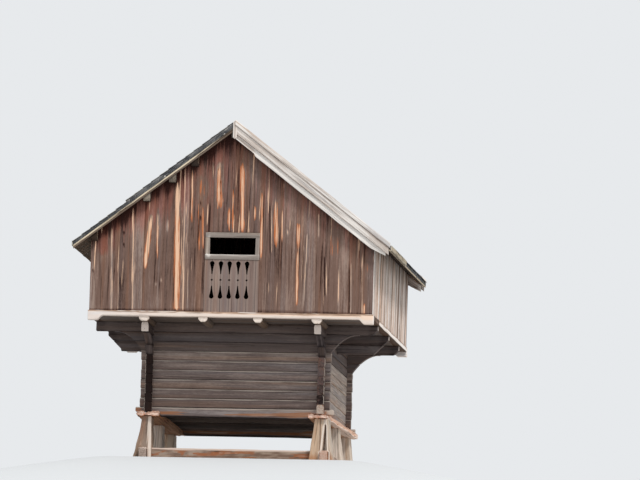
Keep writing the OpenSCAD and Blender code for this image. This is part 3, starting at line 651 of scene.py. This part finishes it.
for side, name in SIDES:
    parts = []
    for n in range(6):
        low = BASE + COURSE * (0.5 + n)
        # Higher courses are lighter in tone, and the right wall much lighter than the left: painted light on
        # the sunlit right side and against the shade under the arms.
        tone = 1.05 + 0.13 * n if side > 0 else 0.7 + 0.05 * n
        part = log("y", side * WALL, low, uneven(CORNER), tone=tone)
        seam_highlight_and_shade(part, low, 0.6, dark=0.0)
        y = np.abs(part.y)
        ends = ramp(y, 2.0, 0.04)
        tan = np.clip(spots(part, 1, 1.6, 16, 7) + 0.1, 0, 1)
        part.tone[:, 2] *= 1 - ends
        if n == 0 and side > 0:
            painted(part, light=0.1 + 0.3 * ends, warm=0.5 * near(part.z, low, 0.14) + 0.7 * ends,
                    pale=0.35 * ends)
        else:
            rim = (part.n[:, 1] == (4 if side > 0 else 0)) * (y > 2.09)
            # Log ends past the corner are darkened: painted shade on the corner columns. The right wall's
            # faces get more of the bleached colour than the left's: painted light on the sunlit side.
            painted(part, light=-1.15 * ends, warm=0.3 * tan * (1 - ends) - 0.3 * ends,
                    pale=(0.32 if side > 0 else 0.1) * (1 - ends)
                    + 1.2 * rim * np.clip(0.7 + spots(part, 15, 15, 15, 4), 0, 1))
        part.end_grain[:] = 0
        parts.append(part)
    make(name + "_logs", parts, "log_wall_timber", name + "_log_wall")
    parts = []
    for n, reach in enumerate((2.28, 2.75, 2.958)):
        low = BASE + COURSE * (6.5 + n)
        part = arm_log("y", side * WALL, low, uneven(reach), lambda y: cove(y, 2.37), tone=0.66)
        # Arm ends past the corner are darkened: painted shade, as on the log ends below.
        painted(part, light=-0.5 * ramp(np.abs(part.y), 2.05, 0.05),
                pale=1.2 * (n == 2) * ramp(np.abs(part.y), 2.93, 0.015))
        part.end_grain[:] = 0
        parts.append(seam_highlight_and_shade(part, low, 0.05))
    make(name + "_arms", parts, "console_timber", name + "_console_logs")

parts = []
for low, reach in ((CROSS_LOW, TIP - TIP_CUT), (CROSS_TOP, TIP - 0.002)):
    part = arm_log("x", 0.0, low, (-reach, reach), lambda x: slanted(np.abs(x)))
    # The tips past 2.9 m are darkened: painted shade over the sunlit front of the tips.
    painted(part, light=-0.4 * ramp(np.abs(part.x), 2.9, 0.1))
    parts.append(seam_highlight_and_shade(part, low, 0.1))
make("middle_arms", parts, "console_timber", "middle_console_log")


# Floor beams, floors and sill rails


def beam(x, w):
    """Floor beam with half an octagon for its section: the lower edges are cut back as the height falls."""
    def shape(v, length):
        v[:, 1] *= 1 - ramp(-v[:, 2], 0, 0.0525) * 0.1 / w
        return v
    part = timber((x, 3.158, 3.0175), (x, -3.158, 3.0175), UP, w, 0.105, cells=(60, 5, 5), bevel=0.006,
                  shape=shape, worn=0.008)
    return painted(part, pale=0.9 * ramp(np.abs(part.y), 3.12, 0.03))


make("floor_beams", [beam(x, w) for x, w in ((-WALL, 0.225), (-0.61, 0.2), (0.61, 0.2), (WALL, 0.225))],
     "beam_timber", "loft_floor_beams")


def floor_boards(name, node, along_x):
    """A floor as separate boards with narrow gaps, thick as the node's box."""
    low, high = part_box(node)
    k = 1 if along_x else 0
    z, h = (low[2] + high[2]) / 2, high[2] - low[2]
    parts = []
    for a, b in board_edges(low[k], high[k], 0.16, 0.24, 0.28):
        m = (a + b) / 2
        p, q = ((low[0], m, z), (high[0], m, z)) if along_x else ((m, high[1], z), (m, low[1], z))
        parts.append(timber(p, q, UP, b - a - 0.004, h, cells=(24, 4, 3), bevel=0.004, rough=0.002))
    make(name, parts, "floor_wood", node)


floor_boards("room_boards", "room_floor", False)
floor_boards("loft_boards", "loft_floor", True)


def gable_rail(end):
    """Rail across a gable. Its underside drops by 0.105 m at both ends, along a slope 0.09 m long."""
    def shape(v, length):
        drop = 0.105 * ramp(np.abs(v[:, 0] - length / 2), LOFT - 0.31, 0.09)
        v[:, 2] -= drop * (0.5 - v[:, 2] / RAIL_H)
        return v
    part = timber((-LOFT, end * RAIL_AT, RAIL_Z), (LOFT, end * RAIL_AT, RAIL_Z), UP, RAIL_W, RAIL_H,
                  cells=(160, 5, 9), rough=0.004, shape=shape, worn=0.004)
    # The top band is darker and browner: brown wood at the rail's top, with painted shade where the wall
    # boards' foot meets it.
    top = near(part.z, 3.19, 0.04)
    return painted(part, light=0.15 - 0.45 * top + 0.25 * spots(part, 4, 4, 20, 5),
                   warm=0.9 * top * (0.8 + 0.6 * spots(part, 5, 5, 30, 4)), pale=-0.5 * top)


def side_rail(side):
    """Rail along a side, darker along its top (brown wood with painted shade at the boards' foot), on its
    underside (painted shade) and towards the front.
    """
    part = timber((side * RAIL_AT, 3.01, RAIL_Z), (side * RAIL_AT, -3.01, RAIL_Z), UP, RAIL_W, RAIL_H,
                  cells=(100, 4, 5), rough=0.004)
    dark = ramp(-part.y, 2.0, 0.15)
    top = near(part.z, 3.18, 0.02)
    # The underside and the lowest strip of the faces are darkened: painted shade.
    below = (part.n[:, 2] == 0) | (part.z < 3.074)
    return painted(part, light=-0.8 * dark - 0.7 * top - below, warm=0.4 * top - 0.2 * dark,
                   pale=0.5 * (1 - dark) * (part.z < 3.15) * (1 - below))


for end, name in ENDS:
    make(name + "_rail", [gable_rail(end)], "pale_rail_wood", name + "_sill_rail")
for side, name in SIDES:
    make(name + "_rail", [side_rail(side)], "pale_rail_wood", name + "_sill_rail")


# Wall boards


def board(a, b, foot, top, face, gable, tone, cells):
    """Upright wall board between two edges, 1.2 mm wider on both sides. Its foot is a little uneven, its
    upper end follows the roof, and its face is cupped by up to 3 mm, deepest in the middle."""
    back, cup, lift = rng.uniform(0, 0.004), rng.uniform(-0.003, 0.003), rng.uniform(0, 0.006)
    w, middle = b - a, (a + b) / 2
    outward = face if gable else -face

    def shape(v, length):
        s = np.clip(v[:, 1] / w, -0.5, 0.5)
        x = v[:, 1] * (1 + 0.0024 / w)
        z = lift + (top(middle + x) - foot - lift) * v[:, 0] / length
        return columns(z, x, v[:, 2] + (cup * (1 - 4 * s * s) - 0.003) * (v[:, 2] * outward > 0) * outward)
    away = face * (CLAD - BOARD_T / 2 - back - 0.001)
    x, y, up = (middle, away, (0, 1, 0)) if gable else (away, middle, (-1, 0, 0))
    return timber((x, y, foot), (x, y, max(top(a), top(b))), up, w, BOARD_T, cells=cells, bevel=0.004,
                  rough=0.002, shape=shape, tone=tone, grain=(1.5, 12, 12))


# Edges of the front boards, and weathered marks on them: place at the upper and lower end, heights, half
# width, kind (w warm bare wood, p bleached, r red-brown, d dark crack or knot) and strength
EDGES = (-3.153, -3.027, -2.682, -2.516, -2.216, -1.982, -1.738, -1.538, -1.282, -1.127, -0.99, -0.849,
         -0.605, -0.45, -0.24, -0.05, 0.02, 0.14, 0.27, 0.44, 0.605, 0.784, 0.951, 1.107, 1.396, 1.618, 1.873,
         2.062, 2.373, 2.596, 2.84, 3.153)
MARKS = (
    (-2.70, -2.66, 5.03, 3.20, 0.018, "p", 0.45), (-2.24, -2.19, 5.49, 3.22, 0.017, "p", 0.5),
    (-2.54, -2.51, 4.71, 3.21, 0.011, "p", 0.3), (-2.85, -2.87, 5.25, 4.38, 0.24, "r", 0.7),
    (-0.63, -0.64, 6.76, 6.43, 0.111, "w", 0.4), (-1.83, -1.94, 5.35, 4.11, 0.045, "wp", 0.95),
    (-1.69, -1.67, 5.51, 4.29, 0.028, "wp", 0.5), (-1.47, -1.47, 5.23, 4.92, 0.022, "p", 0.6),
    (-1.58, -1.57, 3.94, 3.81, 0.022, "p", 0.5), (-1.68, -1.68, 3.83, 3.72, 0.022, "p", 0.5),
    (-3.10, -3.09, 4.11, 4.02, 0.022, "d", 0.6), (-2.43, -2.43, 4.95, 4.86, 0.022, "d", 0.6),
    (-2.43, -2.42, 4.69, 4.60, 0.022, "d", 0.6), (-1.27, -1.21, 6.07, 3.25, 0.056, "wp", 0.75),
    (-1.11, -1.06, 6.41, 3.25, 0.013, "p", 0.5), (-1.04, -0.96, 6.41, 3.26, 0.011, "p", 0.3),
    (-0.95, -0.93, 6.41, 5.09, 0.022, "w", 0.8), (-0.72, -0.72, 6.20, 5.65, 0.10, "w", 0.6),
    (-0.79, -0.75, 5.65, 4.55, 0.022, "w", 0.6), (-0.69, -0.66, 5.65, 4.55, 0.02, "w", 0.5),
    (-0.75, -0.74, 5.67, 5.58, 0.024, "d", 0.8), (-0.73, -0.73, 5.30, 5.21, 0.022, "d", 0.7),
    (-0.49, -0.47, 6.54, 6.10, 0.022, "w", 0.6), (-0.35, -0.33, 6.55, 5.44, 0.067, "w", 0.75),
    (-0.35, -0.35, 6.37, 6.32, 0.044, "d", 0.8), (-0.34, -0.34, 6.10, 6.06, 0.044, "d", 0.8),
    (-0.33, -0.33, 5.84, 5.80, 0.044, "d", 0.8), (-0.11, -0.09, 5.60, 4.97, 0.033, "w", 0.6),
    (-0.02, 0.00, 5.98, 4.97, 0.028, "w", 0.7), (0.16, 0.20, 6.56, 4.95, 0.039, "w", 1.0),
    (0.47, 0.48, 5.58, 5.21, 0.033, "w", 0.6), (0.62, 0.64, 5.92, 4.37, 0.028, "w", 0.7),
    (0.80, 0.84, 5.59, 4.49, 0.013, "d", 0.9), (0.84, 0.87, 5.59, 4.49, 0.013, "p", 0.4),
    (0.94, 0.96, 5.71, 4.60, 0.046, "w", 0.75), (1.08, 1.10, 5.53, 4.61, 0.018, "wp", 0.6),
    (1.21, 1.22, 5.05, 4.90, 0.022, "p", 0.5), (1.45, 1.46, 5.22, 4.62, 0.044, "w", 0.9),
    (1.45, 1.46, 4.62, 3.34, 0.028, "wp", 0.55), (1.66, 1.62, 4.96, 3.35, 0.014, "p", 0.7),
    (1.89, 1.91, 5.41, 4.86, 0.02, "p", 0.5), (2.05, 2.09, 4.46, 3.54, 0.018, "d", 0.8),
    (2.09, 2.12, 4.46, 3.54, 0.012, "p", 0.4), (2.30, 2.30, 5.09, 4.43, 0.178, "w", 0.35),
    (2.37, 2.38, 4.21, 3.37, 0.016, "p", 0.5), (2.61, 2.64, 4.33, 3.22, 0.027, "d", 0.45),
    (2.65, 2.67, 4.33, 3.22, 0.014, "p", 0.6), (2.87, 2.89, 4.27, 3.79, 0.018, "d", 0.7),
    (2.90, 2.92, 4.45, 3.22, 0.014, "p", 0.45), (3.00, 3.01, 4.45, 4.05, 0.014, "w", 0.4),
    (2.97, 2.97, 3.42, 3.22, 0.018, "wp", 0.6))
WIDE = 0.08     # half width from which a mark breaks up


def joints(part):
    """Darkens a board's two bevelled edges, where dirt sits in the joint."""
    across = part.n[:, 1]
    painted(part, light=-0.45 * ((across == 0) | (across == across.max())))


def streaked(part, count, x):
    """Thin pale and dark streaks at random places along x, each as strong as exp(-(distance / 1 cm)^2)."""
    z = part.z
    for _ in range(count):
        at, foot, tall = rng.uniform(x.min(), x.max()), rng.uniform(3.2, z.max()), rng.uniform(0.3, 1.6)
        amount = near(x, at + 0.02 * (z - foot), 0.010) * ramp(z, foot, 0.3) * ramp(-z, -foot - tall, 0.3)
        if rng.random() < 0.5:
            painted(part, pale=rng.uniform(0.2, 0.5) * amount)
        else:
            painted(part, light=-rng.uniform(0.25, 0.6) * amount)


def weathered(part, marks):
    """Adds each mark along its line: strength times exp(-(distance / width)^2.6). The width varies with noise
    and narrows towards both ends, the core of bare wood is paler, and wide marks break up into streaks."""
    x, z = part.x, part.z
    for x1, x0, z1, z0, half, kind, strength in marks:
        fade = min(0.22, 0.35 * (z1 - z0))
        inside = np.clip((z - z0) / fade, float(z0 < 3.3), 1) * ramp(-z, -z1, fade) * (z > z0)
        wave = noise(columns(z * 4, x0 * 5, 0), 15)
        width = (0.75 if kind == "d" else 1.15) * max(half, 0.012)
        width = width * (0.7 + 0.3 * np.sqrt(inside)) * (0.95 + 0.2 * wave)
        away = x - x0 - (x1 - x0) * (z - z0) / (z1 - z0) - 0.12 * half * wave
        if half >= WIDE:
            inside = inside * np.clip(0.35 + noise(columns(x * 28, z * 1.2, 0), 16), 0, 1)
        amount = (0.15 + strength) * np.sqrt(inside) * np.exp(-np.abs(away / width) ** 2.6)
        core = (0.15 + strength) * inside * near(away, 0, 0.6 * width)
        if kind == "r":
            painted(part, warm=-amount)
        elif "w" in kind:
            painted(part, warm=1.35 * amount, pale=core * (half < WIDE) * (0.95 if "p" in kind else 0.4))
        elif kind == "p":
            painted(part, light=0.9 * amount, pale=0.5 * amount)
        else:
            painted(part, light=-1.3 * amount)


def roof_line(x):
    """Height of the wall boards' upper ends, just below the roof boards."""
    return under(x) - 0.004


for end, name in ENDS:
    front = end < 0
    if front:
        pairs, marks, cells = zip(EDGES, EDGES[1:]), MARKS, (44, 20, 1)
    else:
        pairs, cells = board_edges(EDGES[0], EDGES[-1], 0.13, 0.3, 0.36), (40, 12, 1)
        marks = [(-m[0] * 0.93 + 0.11, -m[1] * 0.93 + 0.11, *m[2:]) for m in MARKS[::3]]
    parts = []
    for a, b in pairs:
        foot = OVER_FRAME if front and a > -FRAME_HALF and b < FRAME_HALF else FOOT
        part = board(a, b, foot, roof_line, end, True, rng.uniform(0.38, 0.60), cells)
        joints(part)
        streaked(part, 7, part.x)
        x, z = part.x, part.z
        below = under(x) - z
        red = near(below, 0.25, 0.6) * np.clip(0.65 + spots(part, 2, 1, 0.6, 12), 0, 1)
        # Darker just below the roof: painted shadow of the verge; darker at the foot: painted shade where the
        # boards meet the rail.
        painted(part, light=-0.6 * near(below, 0.0, 0.28) + 0.15 * near(below, 0.8, 0.5)
                + 0.12 * near(z, 3.2, 0.6) - 0.7 * near(z, 3.175, 0.02),
                warm=-0.75 * red * np.clip(0.5 - x, 0.35, 1) - 0.25 * ramp(z, 4.3, 1.2))
        weathered(part, marks)
        parts.append(part)
    make(name + "_boards", parts, "gable_board_wood", name + "_wall_boards")

# Bleached and dark boards of the side walls: distance from the middle, and strength (dark below zero)
SIDE_MARKS = ((-2.05, 0.5), (-1.55, -0.4), (-0.97, -0.5), (-0.72, 0.5), (0.10, 0.4), (0.33, -0.5),
              (0.69, -0.3), (0.91, 0.5), (1.28, 0.4), (1.50, -0.5), (1.76, 0.4), (2.10, -0.4), (2.45, 0.4),
              (2.85, -0.4))
SIDE_HALF, SIDE_TOP = 3.122, roof_line(CLAD)
for side, name in SIDES:
    parts = []
    for a, b in board_edges(-SIDE_HALF, SIDE_HALF, 0.14, 0.29, 0.34):
        part = board(a, b, FOOT, lambda y: SIDE_TOP, side, False, rng.uniform(0.36, 0.62),
                     (36, 15 if side > 0 else 10, 1))
        y, z = part.y, part.z
        joints(part)
        streaked(part, 16, y)
        specks = np.clip(spots(part, 1, 26, 9, 6) - 0.35, 0, 1)
        corner = near(y, -3.12, 0.11) * (a == -SIDE_HALF)
        # Darker towards the top: painted shade under the eave.
        painted(part, light=0.5 * corner - 0.12 * near(z, SIDE_TOP, 0.25) - 0.6 * specks * near(z, 3.2, 0.7),
                pale=0.9 * corner)
        for at, amount in SIDE_MARKS:
            band = near(y, at + 0.02 * (z - 4), 0.075)
            painted(part, light=min(amount, 0) * band, pale=max(amount, 0) * band)
        parts.append(part)
    make(name + "_boards", parts, "side_board_wood", name + "_wall_boards")


# Opening, panel, inner frames and joists

FRAME_Y = -(CLAD + 0.018 + STUD) / 2
bars = [((-0.603, FRAME_Y, z), (0.603, FRAME_Y, z), UP, 0.047, 0.110) for z in (4.406, 4.894)]
bars += [((x, FRAME_Y + 0.002, 4.455), (x, FRAME_Y + 0.002, 4.845), (0, 1, 0), 0.093, 0.043)
         for x in (-0.5575, 0.5575)]
parts = [timber(*bar, cells=(30, 4, 4), bevel=0.005, rough=0.002) for bar in bars]
for part in parts:
    painted(part, light=-0.8 * near(part.z, 4.425, 0.008),
            pale=0.4 * near(part.x, -0.53, 0.03) + 0.35 * near(part.z, 4.455, 0.018))
make("opening_bars", parts, "opening_frame_wood", "gable_opening_frame")


def dress(node, material):
    """A CAD node that stays as it is gets a material."""
    obj = frame_nodes[node]
    obj.data.materials.clear()
    obj.data.materials.append(MATERIALS[material])


frame_nodes = {o["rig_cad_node"]: o for o in bpy.data.objects if "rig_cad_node" in o}
dress("baluster_panel", "panel_wood")
for node in ("left_frame_posts", "right_frame_posts", "front_gable_frame", "rear_gable_frame"):
    dress(node, "frame_upright")
parts = [hewn((-1.845, y, 1.135), (1.845, y, 1.135), 0.13, 0.12, cells=(30, 4, 4), worn=0)
         for y in (-1.3, 0.0, 1.3)]
make("floor_joists", parts, "floor_wood", "room_joists")


# Roof


def roof_timber(x, half, depth, lower, tip=-0.3):
    """Purlin, plate or ridge timber from verge to verge; its top follows the roof's slope. The tip is its
    ends' brightness:
    painted shade from the verge, darker for some timbers than others; a painted shadow also darkens its lower
    edge."""
    def shape(v, length):
        v[:, 2] = (under(x + v[:, 1]) - 0.001 - lower) * (v[:, 2] / depth + 0.5) - depth / 2
        return v
    end, z = VERGE - 0.032, lower + depth / 2
    part = timber((x, end, z), (x, -end, z), UP, 2 * half, depth, cells=(70, 4, 5), shape=shape, worn=0.01)
    # Painted shade: ends darkened by the tip, and a painted shadow along the lower edge.
    painted(part, light=tip * part.end_grain - 0.7 * near(part.z, lower, 0.05))
    part.end_grain *= np.clip(0.6 + tip, 0, 1)
    return part


PLATE_IN = 3.01     # inner face of a wall plate
for side, name in SIDES:
    plate = roof_timber(side * (PLATE_IN + STUD) / 2, (STUD - PLATE_IN) / 2, 0.19, under(STUD) - 0.15, -1.0)
    make(name + "_plate", [plate], "frame_timber", name + "_wall_plate")
    parts = [roof_timber(side * d, 0.075, 0.17, under(d) - 0.17, tip)
             for d, tip in ((0.88, -0.6), (1.37, -0.2), (1.93, 0.0))]
    make(name + "_purlin_timbers", parts, "frame_timber", name + "_purlins")
make("ridge_timber", [roof_timber(0.0, 0.085, 0.17, under(0) - 0.21)], "frame_timber", "ridge_purlin")


def slope_bar(side, x0, x1, low, high, y0, y1, shape=None, **more):
    """Timber down a slope, between two distances from the ridge (measured level), two heights square to
    the roof boards' underside, and two ys. Its ends are upright: each point slides down by its height
    times the slope."""
    up, y = (low + high) / 2, (y0 + y1) / 2

    def slid(v, length):
        if shape is not None:
            v = shape(v, length)
        v[:, 0] -= (up + v[:, 2]) * SLOPE
        return v
    p, q = ((side * (x + up * SINE), y, under(0) - x * SLOPE + up * RUN) for x in (x0, x1))
    return timber(p, q, (side * SINE, 0, RUN), abs(y1 - y0), high - low, shape=slid, **more)


def slab(side, reach, low, high):
    """Core under a layer of slates. It shows at the verges, where it looks like the edges of thin slates."""
    part = slope_bar(side, 0.002, reach, low, high, -VERGE + 0.006, VERGE - 0.006, cells=(40, 24, 2),
                     bevel=0.004, rough=0.002, tone=0.1)
    return painted(part, light=(np.abs(part.y) > VERGE - 0.02) * (0.15 + 0.7 * spots(part, 4, 1, 9, 5)))


def courses(side, reach, low, last):
    """Courses of overlapping slates: each lies on the one below, its lower edge raised by its thickness, and
    narrows downwards. The last course ends at last."""
    parts = []
    rows, edge = round(reach / 0.19), VERGE - 0.004
    for r in range(rows):
        start, y = reach * r / rows, -edge
        while y < VERGE - 0.01:
            w = min(rng.uniform(0.22, 0.38), edge - y)
            if edge - (y + w) < 0.12:
                w = edge - y
            end = last if r == rows - 1 else reach * (r + 1) / rows + rng.uniform(-0.009, 0.009)
            lift, narrow = rng.uniform(0.001, 0.006), rng.uniform(0, 0.03)

            def shape(v, length):
                along, across, up = v.T
                return columns(along, across * (1 - narrow * along / length),
                               up + lift + 0.012 * along / length)
            part = slope_bar(side, max(start - 0.02, 0.002), end, low, low + 0.010, y + 0.002, y + w - 0.002,
                             shape, cells=(3, 4, 1), bevel=0.003, grain=(5, 5, 5),
                             tone=rng.uniform(0.35, 0.8))
            parts.append(painted(part, light=1.4 * (np.abs(part.y) > VERGE - 0.012) * (start * 31 % 1)))
            y += w
    return parts


SLAB_TOP, SECOND_TOP = 0.094, 0.130     # tops of the two layers' cores over the roof boards' underside
for side, name in SIDES:
    parts = [slope_bar(side, 0.002, EAVE - 0.002 - rng.uniform(0, 0.012), 0.001, ROOF_BOARD_T - 0.001,
                       a + 0.001, b - 0.001, cells=(40, 4, 2), bevel=0.004, rough=0.0015)
             for a, b in board_edges(-VERGE + 0.001, VERGE - 0.001, 0.15, 0.27, 0.359)]
    for part in parts:
        # The underside past the right wall is darkened: painted shade on the eave's soffit.
        painted(part, light=-0.5 * (part.n[:, 2] == 0) * (part.x > CLAD),
                pale=(0.45 + 0.4 * noise(part.v * 3, 4)) * ramp(np.abs(part.y), VERGE - 0.012, 0.008))
    make(name + "_roofing_boards", parts, "roof_board_wood", name + "_roof_boards")
    parts = [slab(side, EAVE - 0.006, ROOF_BOARD_T, SLAB_TOP)]
    parts += courses(side, EAVE, SLAB_TOP, EAVE + 0.022)
    parts.append(slab(side, 2.39, SLAB_TOP, SECOND_TOP))
    parts += courses(side, 2.4, SECOND_TOP, 2.4)
    make(name + "_slates", parts, "roof_slate", name + "_roof_covering", sharp=25)

# Depths below the top of the barge are upright ones; across the slope they are shorter by its cosine
BARGE_TOP = (PEAK - under(0)) * RUN


def barge_part(end, x0, x1, high, low, y0, y1, shape=None, worn=0.012):
    """Board of the right verge between two distances from the ridge and two upright depths below the top."""
    return slope_bar(1, x0, x1, BARGE_TOP - low * RUN, BARGE_TOP - high * RUN, end * y0, end * y1, shape,
                     cells=(90, 3, 6), bevel=0.006, rough=0.004, worn=worn, grain=(1.6, 12, 12))


def lowest(v, length):
    """The lowest board's underside rises near the ridge, where it is narrower, and at the lower end."""
    x = v[:, 0] * RUN
    lift = 0.045 * ramp(-x, -0.47, 0.02) + 0.10 * ramp(x, 3.10, 0.33)
    lift = lift * RUN + 0.004 * noise(columns(x * 5, 0, length), 9)
    v[:, 2] += np.clip(0.5 - v[:, 2] / (0.24 * RUN), 0, 1) * lift
    return v


def pointed(v, length):
    """The board at the ridge ends below in a right-angled point."""
    v[:, 0] = np.maximum(v[:, 0], np.abs(v[:, 1]))
    return v


parts = []
for end in (-1, 1):
    cap = barge_part(end, 0.0, 3.535, 0.002, 0.123, VERGE, VERGE + 0.053)
    main = barge_part(end, 0.03, 3.498, 0.119, 0.300, VERGE, VERGE + 0.034)
    low = barge_part(end, 0.0, 3.43, 0.22, 0.46, VERGE - 0.029, VERGE - 0.001, lowest, worn=0.006)
    for part in (cap, main, low):
        painted(part, light=0.08, pale=0.25 + 0.25 * noise(part.v * 1.5, 11))
        if part is not low:
            part.tone[part.n[:, 2] == 0] += (-0.9, 0.15, -0.5)
        # Inner faces are darkened, less so at the lower tip: partly unbleached wood, partly painted shade.
        inner = part.n[:, 1] == (0 if end > 0 else 3)
        part.tone[inner] += np.array([[-1.6, 0.2, -0.6]]) * np.clip((3.46 - part.v[inner, :1]) / 0.12, 0.1, 1)
    painted(low, pale=0.5 * ramp(low.x, 0.40, 0.08))
    y = end * (VERGE + 0.0185)
    hanging = timber((0, y, 7.008), (0, y, 7.40), (0, 1, 0), 0.088, 0.036, cells=(20, 6, 3), bevel=0.005,
                     rough=0.002, shape=pointed)
    parts += [cap, main, low, painted(hanging, pale=0.3)]
make("barge_timbers", parts, "barge_wood", "barge_boards")

parts = [slope_bar(-1, 0.01, EAVE - 0.01, -0.033, -0.001, end * (VERGE - 0.029), end * (VERGE - 0.001),
                   cells=(110, 2, 3), bevel=0.004, worn=0.01) for end in (-1, 1)]
make("verge_battens", parts, "verge_strip_wood", "left_verge_strips")

low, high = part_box("eave_boards")
z, h = (low[2] + high[2]) / 2, high[2] - low[2] - 0.006
parts = []
for side, far in ((-1, VERGE - 0.02), (1, -VERGE + 2.75)):
    x = side * (EAVE + 0.0125)
    parts.append(timber((x, far, z), (x, -VERGE + 0.01, z), UP, 0.023, h, cells=(80, 3, 6), bevel=0.004,
                        worn=0.02))
make("worn_eave_boards", parts, "eave_board_wood", "eave_boards")


# Stage, light and camera


def mound():
    """Pale ground: level under the building, then falling by (sqrt(d^2 + w^2) - w) tan(11.5 degrees)."""
    a, r = np.meshgrid(np.linspace(0, 2 * np.pi, 181)[:-1],
                       np.concatenate([np.linspace(0, 8, 41), np.geomspace(8.3, 900, 70)]))
    x, y = r * np.cos(a), r * np.sin(a)
    d = np.hypot(np.maximum(np.abs(x) - 2.6, 0), np.maximum(np.abs(y) - 2.5, 0))
    z = -(np.sqrt(d * d + 0.25) - 0.5) * math.tan(math.radians(11.5)) - 0.0005
    rows, cols = x.shape
    i, j = np.meshgrid(np.arange(rows - 1), np.arange(cols), indexing="ij")
    k = (j + 1) % cols
    f = np.stack([i * cols + j, (i + 1) * cols + j, (i + 1) * cols + k, i * cols + k], -1).reshape(-1, 4)
    s = Shader(bpy.data.materials.new("floor"))
    seen = s.add("LightPath", {}).outputs["Is Camera Ray"]
    color = s.mix(seen, (0.50, 0.50, 0.49, 1), (0.67, 0.685, 0.70, 1))
    surface = s.add("BsdfPrincipled", {"Base Color": color, "Roughness": 0.95,
                                       "Specular IOR Level": 0.0}).outputs[0]
    s.add("OutputMaterial", {0: surface})
    smooth_object("floor", np.stack([x, y, z], -1).reshape(-1, 3), f, s.owner)


mound()

# The camera sees a plain backdrop, while the light comes from a dimmer and cooler fill
world = bpy.data.worlds.new("studio")
bpy.context.scene.world = world
s = Shader(world)
rays = s.add("LightPath", {}).outputs
seen = s.math("MAXIMUM", rays["Is Camera Ray"], rays["Is Glossy Ray"])
fill = s.add("Background", {"Color": (0.93, 0.97, 1.0, 1), "Strength": 0.66}).outputs[0]
backdrop = s.add("Background", {"Color": (0.80, 0.82, 0.84, 1), "Strength": 1.0}).outputs[0]
s.add("OutputWorld", {0: s.add("MixShader", {0: seen, 1: fill, 2: backdrop}).outputs[0]})

sun = bpy.data.lights.new("sun", "SUN")
sun.energy, sun.angle, sun.color = 2.2, math.radians(14), (1.0, 0.975, 0.94)
obj = bpy.data.objects.new("sun", sun)
obj.rotation_mode = "QUATERNION"
obj.rotation_quaternion = Vector((-0.42, 0.43, -0.80)).to_track_quat("-Z", "Y")
bpy.context.scene.collection.objects.link(obj)

# The camera stands a little to the right and below, and is turned so that the building's middle falls left of
# and below the picture's middle, as in the photo. The focal length is in pixels of the photo's width
AZIMUTH, DOWN, ROLL, FOCAL = math.radians(7.70), math.radians(6.60), math.radians(1.85), 13455.0
WIDTH, HEIGHT, DISTANCE = 640, 480, 300
MIDDLE_X, MIDDLE_Y = 249.5, 314.8       # pixels from the left and from the top
TARGET = Vector((0, 0, 3.5))
back = Vector((math.sin(AZIMUTH) * math.cos(DOWN), -math.cos(AZIMUTH) * math.cos(DOWN), -math.sin(DOWN)))
right = Vector((math.cos(AZIMUTH), math.sin(AZIMUTH), 0))
top = back.cross(right)
right, top = math.cos(ROLL) * right + math.sin(ROLL) * top, math.cos(ROLL) * top - math.sin(ROLL) * right
aim = Vector(((MIDDLE_X - WIDTH / 2) / FOCAL, (HEIGHT / 2 - MIDDLE_Y) / FOCAL, 1.0)).normalized()
turn = (aim.x * right + aim.y * top - aim.z * back).rotation_difference(-back)
camera = bpy.data.cameras.new("camera")
camera.lens, camera.sensor_width = FOCAL * 36 / WIDTH, 36
camera.clip_start, camera.clip_end = 1, 2000
obj = bpy.data.objects.new("camera", camera)
obj.matrix_world = Matrix((turn @ right, turn @ top, turn @ back)).transposed().to_4x4()
obj.location = TARGET + back * DISTANCE
bpy.context.scene.collection.objects.link(obj)
bpy.context.scene.camera = obj
bpy.context.scene.view_settings.view_transform = "Standard"

bpy.context.view_layer.update()
